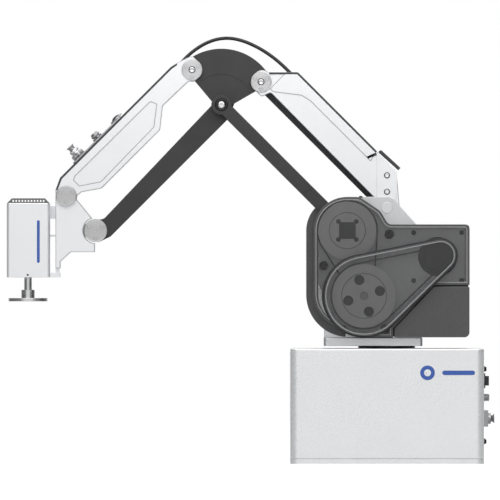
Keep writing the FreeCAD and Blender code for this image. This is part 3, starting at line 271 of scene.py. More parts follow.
EDGE_SIZES = {
    "base_housing": 1.6, "base_plate": 0.8, "turntable_plate": 0.5, "turntable_ring": 0.3,
    "frame_plate_near": 0.4, "frame_plate_far": 0.4, "front_cover": 0.7, "rear_case": 1.6, "motor_cover": 0.6,
    "side_cover_near": 1.4, "side_cover_far": 1.4, "arm_bar_near": 0.6, "arm_bar_far": 0.6,
    "forearm_bar_near": 0.6, "forearm_bar_far": 0.6, "drive_rod": 0.6, "elbow_sector": 0.7, "rear_shell": 0.6,
    "rear_end_plates": 0.4, "front_shell": 0.6, "wrist_bracket": 0.5, "end_housing": 0.9, "vent_cap": 0.25,
    "wrist_motor": 0.5, "output_shaft": 0.4, "tool_flange": 0.5, "shoulder_motor": 0.6, "elbow_motor": 0.6,
    "yaw_motor": 0.6,
}
USUAL_EDGE = 0.2


def soften(obj, edge, segments=3, angle=28):
    """Rounds an object's sharp edges by modifiers and leaves its flat faces flat."""
    weld = obj.modifiers.new("weld", "WELD")
    weld.merge_threshold = 0.01 * MM
    planes = obj.modifiers.new("planes", "DECIMATE")
    planes.decimate_type = "DISSOLVE"
    planes.angle_limit = math.radians(0.5)
    bevel = obj.modifiers.new("edges", "BEVEL")
    bevel.width = edge * MM
    bevel.segments = segments
    bevel.limit_method = "ANGLE"
    bevel.angle_limit = math.radians(angle)
    normals = obj.modifiers.new("normals", "WEIGHTED_NORMAL")
    normals.keep_sharp = True
    normals.weight = 80


def dress_nodes():
    """Gives every CAD node its material and rounds its edges."""
    for part in frame["record"]["subparts"]:
        name = part["node"]
        obj = NODES[name]
        obj.data.materials.clear()
        obj.data.materials.append(MATERIALS[part["material_slot"]])
        for face in obj.data.polygons:
            face.use_smooth = True
        soften(obj, EDGE_SIZES.get(name, USUAL_EDGE))


def new_piece(name, mesh, material, body, place=(0, 0, 0), turn=None):
    """Links a mesh as a piece at its place, with its material's slot, riding on a body."""
    piece = bpy.data.objects.new(name, mesh)
    scene.collection.objects.link(piece)
    piece.location = place
    if turn is not None:
        piece.rotation_mode = "QUATERNION"
        piece.rotation_quaternion = turn
    mesh.materials.append(MATERIALS[material])
    for face in mesh.polygons:
        face.use_smooth = True
    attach(piece, body)
    return piece


def lathe_mesh(name, profile, steps=64, ribs=0, rib_depth=0.0, rib_rows=()):
    """Turns a profile of (radius, height) in millimetres about +Y. Rows in rib_rows are knurled."""
    mesh = bmesh.new()
    rings = []
    for row, (radius, height) in enumerate(profile):
        if radius == 0:
            rings.append([mesh.verts.new((0, height * MM, 0))])
            continue
        ring = []
        for step in range(steps):
            turn = math.tau * step / steps
            size = radius
            if row in rib_rows:
                size -= rib_depth * (0.5 + 0.5 * math.cos(turn * ribs))
            ring.append(mesh.verts.new((size * MM * math.cos(turn), height * MM, size * MM * math.sin(turn))))
        rings.append(ring)
    for lower, upper in zip(rings, rings[1:]):
        for step in range(steps):
            following = (step + 1) % steps
            corners = [lower[step % len(lower)], lower[following % len(lower)],
                       upper[following % len(upper)], upper[step % len(upper)]]
            unique = list(dict.fromkeys(corners))
            if len(unique) > 2:
                mesh.faces.new(unique)
    bmesh.ops.recalc_face_normals(mesh, faces=mesh.faces)
    data = bpy.data.meshes.new(name)
    mesh.to_mesh(data)
    mesh.free()
    return data


def round_edges(piece, edge, segments=2, angle=30):
    bevel = piece.modifiers.new("edges", "BEVEL")
    bevel.width = edge * MM
    bevel.segments = segments
    bevel.limit_method = "ANGLE"
    bevel.angle_limit = math.radians(angle)
    normals = piece.modifiers.new("normals", "WEIGHTED_NORMAL")
    normals.keep_sharp = True


def facing(direction):
    """The turn that brings +Y to a direction."""
    return Y_AXIS.rotation_difference(Vector(direction))


def screw_head_mesh(name, radius, height, socket, dome=True):
    """A screw's head with a six-sided socket in its top, its seat at y = 0."""
    sides, socket_depth = 6, height * 0.55
    mesh = bmesh.new()
    steps = 48

    def ring(size, level):
        turns = [math.tau * step / steps for step in range(steps)]
        return [mesh.verts.new((size * MM * math.cos(turn), level * MM, size * MM * math.sin(turn)))
                for turn in turns]

    rows = [ring(radius, 0), ring(radius, height * (0.35 if dome else 0.85))]
    if dome:
        for share in (0.55, 0.78, 0.93):
            rows.append(ring(radius * math.sqrt(1 - (share * 0.72) ** 2), height * share))
    rows.append(ring(max(socket * 1.25, radius * (0.66 if dome else 0.92)), height))
    hexagon = []
    for step in range(steps):
        turn = math.tau * step / steps
        wedge = math.pi / sides
        reach = socket * MM * math.cos(wedge) / math.cos((turn % (2 * wedge)) - wedge)
        hexagon.append(mesh.verts.new((reach * math.cos(turn), height * MM, reach * math.sin(turn))))
    rows.append(hexagon)
    rows.append([mesh.verts.new((vert.co.x, (height - socket_depth) * MM, vert.co.z)) for vert in hexagon])
    for lower, upper in zip(rows, rows[1:]):
        for step in range(steps):
            following = (step + 1) % steps
            mesh.faces.new((lower[step], lower[following], upper[following], upper[step]))
    mesh.faces.new(rows[-1])
    mesh.faces.new(list(reversed(rows[0])))
    bmesh.ops.recalc_face_normals(mesh, faces=mesh.faces)
    data = bpy.data.meshes.new(name)
    mesh.to_mesh(data)
    mesh.free()
    return data


def add_screw(name, place, direction, radius, height, socket, material, body, dome=True):
    mesh = screw_head_mesh(name, radius, height, socket, dome)
    piece = new_piece(name, mesh, material, body, Vector(place) * MM, facing(direction))
    round_edges(piece, 0.08, 2, 35)
    return piece


def pivot(name):
    """A joint's place in millimetres."""
    return Vector(JOINTS[name]["pos_m"]) / MM


def polar(centre, radius, degrees, y):
    turn = math.radians(degrees)
    return Vector((centre.x + radius * math.cos(turn), y, centre.z + radius * math.sin(turn)))


# ---- pivot discs ----

def add_disc(name, centre, side, face, radius, back, body, screw_ring, pin):
    """A turned cap on a pivot, with three sunk screws and, where pin is given, the end of the pivot pin."""
    edge = 0.35
    top = face - back
    profile = [(0, 0), (radius, 0), (radius, top - edge), (radius - edge, top), (radius * 0.93, top),
               (radius * 0.91, top - 0.12), (radius * 0.89, top), (pin + 0.9, top), (pin + 0.7, top - 0.3),
               (0, top - 0.3)]
    disc = new_piece(name, lathe_mesh(name, profile, 96), "brushed_disc", body,
                     Vector((centre.x, side * back, centre.z)) * MM, facing((0, side, 0)))
    round_edges(disc, 0.06)
    for count in range(3):
        spot = polar(centre, screw_ring, 30 + 120 * count, side * (face - 0.05))
        add_screw("%s_screw_%d" % (name, count + 1), spot, (0, side, 0), 1.55, 0.3, 0.8, "brushed_disc", body,
                  dome=False)
        low, high = sorted((side * (face - 0.1), side * (face + 0.08)))
        band_piece("%s_rim_%d" % (name, count + 1), circle_points((spot.x, spot.z), 2.1, 24),
                   circle_points((spot.x, spot.z), 1.6, 24), low, high, "grey_metal", body, 0.03)
    if pin > 0:
        low, high = sorted((side * (face - 0.35), side * (face - 0.05)))
        band_piece(name + "_pin_rim", circle_points((centre.x, centre.z), pin + 0.85, 32),
                   circle_points((centre.x, centre.z), pin + 0.1, 32), low, high, "motor_black", body, 0.03)
        tip = lathe_mesh(name + "_pin", [(pin, 0), (pin, 0.7), (pin - 0.3, 0.95), (pin * 0.62, 0.95),
                                         (pin * 0.55, 0.6), (0, 0.5)], 48)
        new_piece(name + "_pin", tip, "steel", body, Vector((centre.x, side * (face - 0.5), centre.z)) * MM,
                  facing((0, side, 0)))
    return disc


def add_pin(name, centre, side, radius, low, high, body):
    """A plain pivot pin from one distance off the middle plane to another."""
    mesh = lathe_mesh(name, [(0, 0), (radius, 0), (radius, high - low), (0, high - low)], 48)
    new_piece(name, mesh, "steel", body, Vector((centre.x, side * low, centre.z)) * MM, facing((0, side, 0)))


DISC_RADIUS, DISC_BACK, DISC_SCREWS, DISC_PIN = 10.25, 30.3, 6.9, 2.6
WRIST_DISC_RADIUS, WRIST_DISC_BACK, WRIST_DISC_SCREWS = 11.4, 23.5, 7.4


def make_discs():
    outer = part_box("rear_link_caps")[1].y / MM
    for side, end in ((1, "near"), (-1, "far")):
        rear = add_disc("rear_head_disc_" + end, pivot("sector_pivot"), side, outer, DISC_RADIUS, DISC_BACK,
                        "rear_link", DISC_SCREWS, DISC_PIN)
        head = add_disc("front_head_disc_" + end, pivot("front_link_pivot"), side, outer, DISC_RADIUS,
                        DISC_BACK, "front_link", DISC_SCREWS, DISC_PIN)
        if side > 0:
            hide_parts("rear_link_caps")
            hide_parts("front_link_caps")
        foot = pivot("front_link_pivot") + pivot("wrist_pivot") - pivot("elbow")
        add_disc("front_foot_disc_" + end, foot, side, outer, DISC_RADIUS, DISC_BACK, "front_link",
                 DISC_SCREWS, 0)
        add_pin("rear_head_pin_" + end, pivot("sector_pivot"), side, 3.95, 24.3, 30.4, "rear_link")
        add_pin("front_head_pin_" + end, pivot("front_link_pivot"), side, 3.95, 24.3, 30.4, "front_link")
        add_pin("front_foot_pin_" + end, foot, side, 3.95, 24.3, 30.4, "front_link")
        add_pin("wrist_axle_" + end, pivot("wrist_pivot"), side, 4.0, 0, 23.6, "forearm")
        wrist_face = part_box("wrist_pins")[1].y / MM
        wrist = add_disc("wrist_disc_" + end, pivot("wrist_pivot"), side, wrist_face, WRIST_DISC_RADIUS,
                         WRIST_DISC_BACK, "forearm", WRIST_DISC_SCREWS, 0)
        if side > 0:
            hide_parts("wrist_pins")


def prism_piece(name, outline, low, high, material, body, edge=0.25):
    """An outline of (x, z) points in millimetres, filled from one y to another."""
    mesh = bmesh.new()
    rows = [[mesh.verts.new((x * MM, y * MM, z * MM)) for x, z in outline] for y in (low, high)]
    for rows_pair in zip(rows[0], rows[0][1:] + rows[0][:1], rows[1][1:] + rows[1][:1], rows[1]):
        mesh.faces.new(rows_pair)
    mesh.faces.new(rows[0])
    mesh.faces.new(rows[1])
    bmesh.ops.recalc_face_normals(mesh, faces=mesh.faces)
    data = bpy.data.meshes.new(name)
    mesh.to_mesh(data)
    mesh.free()
    piece = new_piece(name, data, material, body)
    round_edges(piece, edge, 2)
    return piece


def rounded_rectangle(low, high, radius, steps=6):
    """A rectangle's corner points, each corner a quarter circle."""
    points = []
    left, right = low[0] + radius, high[0] - radius
    bottom, top = low[1] + radius, high[1] - radius
    quarters = (((right, top), 0), ((left, top), 90), ((left, bottom), 180), ((right, bottom), 270))
    for corner, start in quarters:
        for step in range(steps + 1):
            turn = math.radians(start + 90 * step / steps)
            points.append((corner[0] + radius * math.cos(turn), corner[1] + radius * math.sin(turn)))
    return points


def circle_points(centre, radius, count=48):
    return [(centre[0] + radius * math.cos(math.tau * step / count),
             centre[1] + radius * math.sin(math.tau * step / count)) for step in range(count)]


def rounded_path(corners, steps=8):
    """A closed outline from (x, z, radius) corners, each with an arc in it."""
    points = []
    for index, corner in enumerate(corners):
        here = Vector(corner[:2])
        if len(corner) == 2:
            points.append(here)
            continue
        before = (Vector(corners[index - 1][:2]) - here).normalized()
        after = (Vector(corners[(index + 1) % len(corners)][:2]) - here).normalized()
        half = before.angle(after) / 2
        middle = here + (before + after).normalized() * corner[2] / math.sin(half)
        first = here + before * corner[2] / math.tan(half) - middle
        last = here + after * corner[2] / math.tan(half) - middle
        start = math.atan2(first.y, first.x)
        sweep = (math.atan2(last.y, last.x) - start + math.pi) % math.tau - math.pi
        for step in range(steps + 1):
            turn = start + sweep * step / steps
            points.append(middle + Vector((math.cos(turn), math.sin(turn))) * corner[2])
    return points


def inset(points, distance):
    """A closed outline moved inward by a distance, or outward where it is negative."""
    area = sum(a.cross(b) for a, b in zip(points, points[1:] + points[:1]))
    moved = []
    for index, here in enumerate(points):
        into = (here - points[index - 1]).normalized()
        out = (points[(index + 1) % len(points)] - here).normalized()
        along = (into + out).normalized()
        inward = Vector((-along.y, along.x)) * math.copysign(1, area)
        moved.append(here + inward * distance / max(0.4, along.dot(out)))
    return moved


def band_piece(name, outer, inner, low, high, material, body, edge=0.1):
    """The band between two outlines with the same number of points, from one y to another."""
    mesh = bmesh.new()
    rows = [[mesh.verts.new((x * MM, y * MM, z * MM)) for x, z in outline]
            for outline, y in ((outer, low), (outer, high), (inner, high), (inner, low))]
    for first, second in zip(rows, rows[1:] + rows[:1]):
        for quad in zip(first, first[1:] + first[:1], second[1:] + second[:1], second):
            mesh.faces.new(quad)
    bmesh.ops.recalc_face_normals(mesh, faces=mesh.faces)
    data = bpy.data.meshes.new(name)
    mesh.to_mesh(data)
    mesh.free()
    piece = new_piece(name, data, material, body)
    round_edges(piece, edge, 2)
    return piece


def link_frame(origin, degrees):
    """Turns (along, across, radius...) into X-Z: across is to the left of the way along."""
    turn = math.radians(degrees)

    def place(corner):
        x = origin.x + corner[0] * math.cos(turn) - corner[1] * math.sin(turn)
        z = origin.z + corner[0] * math.sin(turn) + corner[1] * math.cos(turn)
        return (x, z) + tuple(corner[2:])
    return place


def both_sides(low, high):
    """The same layer on the near side and on the far side, with each side's name."""
    return (("near", low, high), ("far", -high, -low))


# ---- base ----

PORT_ROW_Y = 10


def make_rear_wall():
    """Domed screws, the pins of the power socket, the ribbed data port and the air inlet's release ring."""
    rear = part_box("base_housing")[0].x / MM
    spots = [(PORT_ROW_Y + shift, height) for height in (92.8, 21.7) for shift in (-55, 0, 55)]
    for count, (y, z) in enumerate(spots):
        screw = add_screw("rear_wall_screw_%d" % (count + 1), (rear, y, z), (-1, 0, 0), 2.6, 2.7, 1.25,
                          "screw_black", "base")
        if count == 0:
            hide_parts("rear_screws")
    for count in range(3):
        pin = lathe_mesh("socket_pin", [(0, 0), (0.9, 0), (0.9, 3.4), (0.5, 4.0), (0, 4.0)], 24)
        new_piece("socket_pin_%d" % (count + 1), pin, "steel", "base",
                  Vector((rear - 1.2, PORT_ROW_Y + 4 * (count - 1), 81)) * MM, facing((-1, 0, 0)))
    ribs = [(0, 0), (3.9, 0), (3.9, 0.5), (3.0, 0.7), (3.0, 1.0)]
    for count in range(3):
        start = 1.1 + 1.6 * count
        ribs += [(3.35, start), (3.7, start + 0.15), (3.7, start + 0.85), (3.35, start + 1.0),
                 (3.0, start + 1.1)]
    ribs += [(3.0, 6.0), (2.3, 6.0), (2.3, 4.2), (0, 4.2)]
    port = new_piece("data_port_shell", lathe_mesh("data_port_shell", ribs, 72), "grey_metal", "base",
                     Vector((rear, PORT_ROW_Y, 64.5)) * MM, facing((-1, 0, 0)))
    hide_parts("data_port")
    ring = [(2.05, 3.1), (2.05, 10.9), (2.4, 11.0), (4.5, 11.0), (4.6, 10.7), (4.5, 10.1), (3.6, 9.7),
            (3.2, 9.2), (3.2, 3.1), (2.05, 3.1)]
    release = new_piece("air_inlet_ring", lathe_mesh("air_inlet_ring", ring, 64), "grey_metal",
                        "inlet_collet", Vector((rear, PORT_ROW_Y, 43.9)) * MM, facing((-1, 0, 0)))
    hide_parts("air_inlet_collet")


BADGE_CENTRE = (-39.5, 89.3)


def make_badges():
    """Plain blue bars and a ring where a maker would put its mark."""
    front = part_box("base_housing")[1].y / MM
    outline = circle_points(BADGE_CENTRE, 7.2)
    prism_piece("base_ring_badge", outline, front - 0.2, front + 0.25, "badge_blue", "base", 0.08)
    inner = circle_points(BADGE_CENTRE, 3.4)
    prism_piece("base_ring_centre", inner, front, front + 0.35, "silver_paint", "base", 0.08)
    prism_piece("base_bar_badge", rounded_rectangle((-86, 87.1), (-54, 91.5), 2.1), front - 0.2, front + 0.25,
                "badge_blue", "base", 0.08)
    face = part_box("end_housing")[1].y / MM
    prism_piece("head_bar_badge", rounded_rectangle((341.4, 197), (344.2, 239), 1.3), face - 0.2, face + 0.2,
                "badge_blue", "wrist", 0.08)


# ---- turret ----

def make_turret_trim():
    """The seal between the side covers and the rear case, the pins' heads and a clip on each dome."""
    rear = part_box("rear_case")[0].x / MM
    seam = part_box("rear_case")[1].z / MM
    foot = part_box("rear_case")[0].z / MM + 0.6
    seal = [(rear + 1, seam), (-46.2, seam), (-7.2, 133.0), (-7.2, foot), (-6.1, foot), (-6.1, 133.2),
            (-45.6, seam + 1.25), (rear + 1, seam + 1.25)]
    pin = pivot("rear_link_pivot")
    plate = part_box("frame_plate_near")[1].y / MM
    for end, low, high in both_sides(47.5, 51.8):
        prism_piece("cover_seal_" + end, seal, low, high, "belt_rubber", "turret", 0.15)
    for side, end in ((1, "near"), (-1, "far")):
        head = lathe_mesh("rear_pin_head", [(0, 0), (5.3, 0), (5.3, 0.5), (4.9, 0.8), (4.4, 0.8), (4.3, 0.62),
                                            (0, 0.62)], 64, ribs=18, rib_depth=0.25, rib_rows=(1, 2))
        new_piece("rear_pin_head_" + end, head, "grey_metal", "turret",
                  Vector((pin.x, side * (plate - 0.05), pin.z)) * MM, facing((0, side, 0)))
    for end, low, high in both_sides(45.0, 50.5):
        clip = [(23.4, 261.0), (27.4, 261.0), (26.9, 262.9), (24.4, 262.9)]
        prism_piece("cover_clip_" + end, clip, low, high, "black_plastic", "turret", 0.3)


def cover_path():
    """The side view of a turret cover: a dome over the shoulder and a box over the motor."""
    low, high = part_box("side_cover_near")
    front, rear, bottom, crown = high.x / MM, low.x / MM, low.z / MM, high.z / MM
    dome = crown - pivot("shoulder").z
    corners = [(front, crown, dome), (27, crown, 12), (6.5, 248, 14), (-1, 234.8, 7), (rear, 234.8, 5),
               (rear, 175.4), (-46, 175.4), (-6, 133), (-6, bottom), (28, bottom, 28), (front, 146, 34)]
    return rounded_path(corners, 16)


MIDDLE_PULLEY = Vector((22.5, 164.7))
BULGE_TIP = Vector((-52.7, 204.5))


def bulge_path(large, small, steps=24):
    """The outline round a large circle at the middle pulley and a small one at the motor."""
    apart = BULGE_TIP - MIDDLE_PULLEY
    heading = math.atan2(apart.y, apart.x)
    spread = math.acos((large - small) / apart.length)
    points = []
    for centre, radius, start, end in ((MIDDLE_PULLEY, large, heading + spread, heading + math.tau - spread),
                                       (BULGE_TIP, small, heading - spread, heading + spread)):
        for step in range(steps + 1):
            turn = start + (end - start) * step / steps
            points.append(centre + Vector((math.cos(turn), math.sin(turn))) * radius)
    return points


def make_cover_painted_edge_light():
    """The rounded edges of the side covers and of their bulges in painted light: a dark line of painted shade with
    a pale painted highlight inside it, and a black ring of painted shadow round each bulge's foot.
    """
    outer = cover_path()
    # The dark ring is painted shade on the cover's turned edge, and the pale ring inside it is a painted
    # highlight.
    for end, low, high in both_sides(53.0, 54.2):
        band_piece("cover_painted_edge_shade_" + end, inset(outer, -0.1), inset(outer, 2.0), low, high, "dark_plastic",
                   "turret", 0.5)
        band_piece("cover_painted_highlight_" + end, inset(outer, 2.0), inset(outer, 3.0), low, high, "painted_edge_highlight",
                   "turret", 0.2)
    # A black ring of painted shadow round the foot of each bulge.
    for end, low, high in both_sides(53.5, 54.5):
        band_piece("bulge_foot_painted_shadow_" + end, bulge_path(41.2, 17.0), bulge_path(39.3, 15.1), low, high,
                   "black_plastic", "turret", 0.4)
    # A dark ring of painted shade on each bulge's turned edge, with a ring of painted highlight inside it.
    for end, low, high in both_sides(60.5, 63.7):
        band_piece("bulge_painted_edge_shade_" + end, bulge_path(39.5, 15.3), bulge_path(38.2, 14.0), low, high,
                   "dark_plastic", "turret", 0.5)
        band_piece("bulge_painted_highlight_" + end, bulge_path(38.2, 14.0), bulge_path(37.2, 13.0), low, high,
                   "painted_edge_highlight", "turret", 0.2)


FRONT_FOOT_RADIUS, FRONT_FOOT_INSIDE, FRONT_FOOT_HEIGHT = 41.4, 30.5, 165.6


def make_front_lip():
    """The curved foot of the front cover, carried over the frame plates' toes."""
    centre = Vector((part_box("front_cover")[1].x / MM - FRONT_FOOT_RADIUS, 0, FRONT_FOOT_HEIGHT))
    outer = [polar(centre, FRONT_FOOT_RADIUS, turn, 0) for turn in range(-86, -43, 3)]
    inner = [polar(centre, FRONT_FOOT_INSIDE, turn, 0) for turn in range(-44, -87, -3)]
    for end, low, high in both_sides(35.75, 36.25):
        prism_piece("front_lip_" + end, [(spot.x, spot.z) for spot in outer + inner], low, high,
                    "dark_plastic", "turret", 0.1)


HUB_HALF_WIDTH = 8.2
HOLE_RING = 16.2


def make_pulley_faces():
    """What shows through the covers: a dark hub on each arm pulley, a ring and a boss on each mid pulley, and a
    black disc of painted shade in each of a mid pulley's holes.
    """
    shoulder = pivot("shoulder")
    middle = tuple(MIDDLE_PULLEY)
    square = rounded_rectangle((shoulder.x - HUB_HALF_WIDTH, shoulder.z - HUB_HALF_WIDTH),
                               (shoulder.x + HUB_HALF_WIDTH, shoulder.z + HUB_HALF_WIDTH), 1.6)
    near_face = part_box("shoulder_pulley")[1].y / MM
    mid_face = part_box("shoulder_mid_pulley")[1].y / MM
    for end, arm, wheel in (("near", "lower_arm", "shoulder_mid_wheel"), ("far", "crank", "elbow_mid_wheel")):
        side = 1 if end == "near" else -1
        low, high = sorted((side * (near_face - 0.2), side * (near_face + 0.5)))
        prism_piece("arm_pulley_hub_" + end, square, low, high, "black_metal", arm, 0.3)
        for count in range(4):
            spot = polar(shoulder, 12.4, 45 + 90 * count, 0)
            ear = circle_points((spot.x, spot.z), 2.3, 24)
            prism_piece("arm_pulley_ear_%s_%d" % (end, count + 1), ear, low, high, "black_metal", arm, 0.2)
        low, high = sorted((side * (near_face - 0.2), side * (near_face + 0.15)))
        band_piece("arm_pulley_ring_" + end, circle_points((shoulder.x, shoulder.z), 18.4, 64),
                   circle_points((shoulder.x, shoulder.z), 17.2, 64), low, high, "grey_metal", arm)
        low, high = sorted((side * (mid_face - 0.2), side * (mid_face + 0.15)))
        band_piece("mid_pulley_ring_" + end, circle_points(middle, 22.6, 64), circle_points(middle, 21.4, 64),
                   low, high, "grey_metal", wheel)
        boss = circle_points(middle, 4.4, 32)
        prism_piece("mid_pulley_boss_" + end, boss, low, high, "grey_metal", wheel, 0.1)
        # Black discs set deep in the mid pulley's four holes: painted shade inside them.
        for count in range(4):
            spot = polar(Vector((middle[0], 0, middle[1])), HOLE_RING, 73 + 90 * count, 0)
            back, front = sorted((side * (mid_face - 7.2), side * (mid_face - 6.8)))
            hole = circle_points((spot.x, spot.z), 5.1, 32)
            prism_piece("mid_pulley_hole_%s_%d" % (end, count + 1), hole, back, front, "black_metal",
                        wheel, 0.1)


# ---- lower arm and rear link ----

def make_elbow_screws():
    """A bright screw in a black ring on each end of the elbow shaft."""
    centre = pivot("elbow")
    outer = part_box("elbow_shaft")[1].y / MM
    for side, end in ((1, "near"), (-1, "far")):
        ring = lathe_mesh("elbow_ring", [(3.9, -0.8), (3.9, 0.5), (4.3, 0.8), (5.6, 0.8), (6.0, 0.5),
                                         (6.0, -0.8)], 72)
        new_piece("elbow_ring_" + end, ring, "screw_black", "lower_arm",
                  Vector((centre.x, side * outer, centre.z)) * MM, facing((0, side, 0)))
        add_screw("elbow_screw_" + end, (centre.x, side * (outer - 0.2), centre.z), (0, side, 0), 3.8, 1.9,
                  1.9, "steel", "lower_arm")


def make_rear_link_trim():
    """Sunk screws on the end plates, a dark strip of painted shade along their edge, and a dark slot where the
    panel ends.
    """
    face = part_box("rear_end_plates")[1].y / MM
    for side, end in ((1, "near"), (-1, "far")):
        for count, height in enumerate((267.0, 283.1)):
            spot = (-0.2, side * (face - 0.35), height)
            ring = lathe_mesh("end_plate_ring", [(2.2, 0), (2.2, 0.38), (3.0, 0.38), (3.0, 0)], 48)
            new_piece("end_plate_ring_%s_%d" % (end, count + 1), ring, "screw_black", "rear_link",
                      Vector(spot) * MM, facing((0, side, 0)))
            add_screw("end_plate_screw_%s_%d" % (end, count + 1), spot, (0, side, 0), 2.2, 0.4, 1.15, "steel",
                      "rear_link", dome=False)
    for end, low, high in both_sides(0, face - 0.4):
        slot = [(18.6, 299.4), (19.9, 301.6), (10.9, 305.6), (9.7, 303.2)]
        outer = high if high > 0 else low
        inner = outer - math.copysign(0.6, outer)
        prism_piece("panel_slot_" + end, slot, min(inner, outer), max(inner, outer), "motor_black",
                    "rear_link", 0.1)
    # A dark strip across the end plates' sloped edge facet: painted shade on it.
    strip = [(6.4, 304.6), (8.3, 306.4), (5.7, 308.2), (-13.6, 290.4), (-11.6, 288.3)]
    prism_piece("end_edge_painted_shade", strip, 0.6 - face, face - 0.6, "motor_black", "rear_link", 0.4)


# ---- cable ----

def cable_route():
    """The lead's points from inside the rear shell over the elbow into the front shell, in millimetres."""
    elbow = pivot("elbow")
    route = [(-83, 14.5), (-68.5, 32), (-44, 53), (-16, 66), (7, 65.5), (29.5, 53), (46, 34), (54, 21.5)]
    return [Vector((elbow.x + x, 0, elbow.z + z)) for x, z in route]


def make_cable():
    """A smooth lead in two halves that meet over the elbow, with a grommet on each link."""
    data = bpy.data.curves.new("lead_line", "CURVE")
    data.dimensions = "3D"
    spline = data.splines.new("NURBS")
    points = cable_route()
    spline.points.add(len(points) - 1)
    for control, place in zip(spline.points, points):
        control.co = (*(place * MM), 1)
    spline.order_u = 3
    spline.use_endpoint_u = True
    spline.resolution_u = 16
    curve = bpy.data.objects.new("lead_line", data)
    line = bpy.data.meshes.new_from_object(curve)
    centres = [vert.co.copy() for vert in line.vertices]
    bpy.data.objects.remove(curve)
    middle = len(centres) // 2
    halves = (("lead_rear", centres[:middle + 1], "rear_link", "sector"),
              ("lead_front", centres[middle:], "sector", "front_link"))
    for name, path, first, second in halves:
        lead = bpy.data.objects.new(name, tube_mesh(name, path, 1.7))
        scene.collection.objects.link(lead)
        lead.data.materials.append(MATERIALS["cable_rubber"])
        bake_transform(lead)
        if name == "lead_rear":
            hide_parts("elbow_cable")
    grommets = (("rear_grommet", centres, "rear_link", 89.5),
                ("front_grommet", centres[::-1], "front_link", 212.6))
    for name, path, body, x in grommets:
        spot = min(range(len(path)), key=lambda index: abs(path[index].x / MM - x))
        ring = lathe_mesh(name, [(1.7, -1.2), (3.0, -1.2), (3.3, -0.6), (3.3, 0.5), (2.7, 1.6),
                                 (1.7, 2.2)], 40)
        new_piece(name, ring, "black_plastic", body, path[spot], facing(path[spot + 1] - path[spot]))


def tube_mesh(name, path, radius, steps=20):
    """A round tube that follows points in the X-Z plane."""
    mesh = bmesh.new()
    rings = []
    for index, place in enumerate(path):
        ahead = path[min(index + 1, len(path) - 1)] - path[max(index - 1, 0)]
        across = ahead.normalized().cross(Y_AXIS)
        ring = []
        for step in range(steps):
            turn = math.tau * step / steps
            outward = across * math.cos(turn) + Y_AXIS * math.sin(turn)
            ring.append(mesh.verts.new(place + outward * radius * MM))
        rings.append(ring)
    for lower, upper in zip(rings, rings[1:]):
        for step in range(steps):
            following = (step + 1) % steps
            mesh.faces.new((lower[step], lower[following], upper[following], upper[step]))
    mesh.faces.new(rings[0])
    mesh.faces.new(rings[-1])
    bmesh.ops.recalc_face_normals(mesh, faces=mesh.faces)
    for face in mesh.faces:
        face.smooth = True
    data = bpy.data.meshes.new(name)
    mesh.to_mesh(data)
    mesh.free()
    return data


# ---- front link ----

LINK_FACE = 16.6
PAD_TOP = LINK_FACE + 1.6
BUTTON_ALONG, SIGNAL_ALONG, AIR_ALONG = 86.7, 113, 138.6


def on_front_link(along, out, y=0.0):
    """A point at a distance along the front link from its head and out of its axis, in millimetres."""
    return pivot("front_link_pivot") + ALONG_FRONT * along + OUTWARD * out + Y_AXIS * y


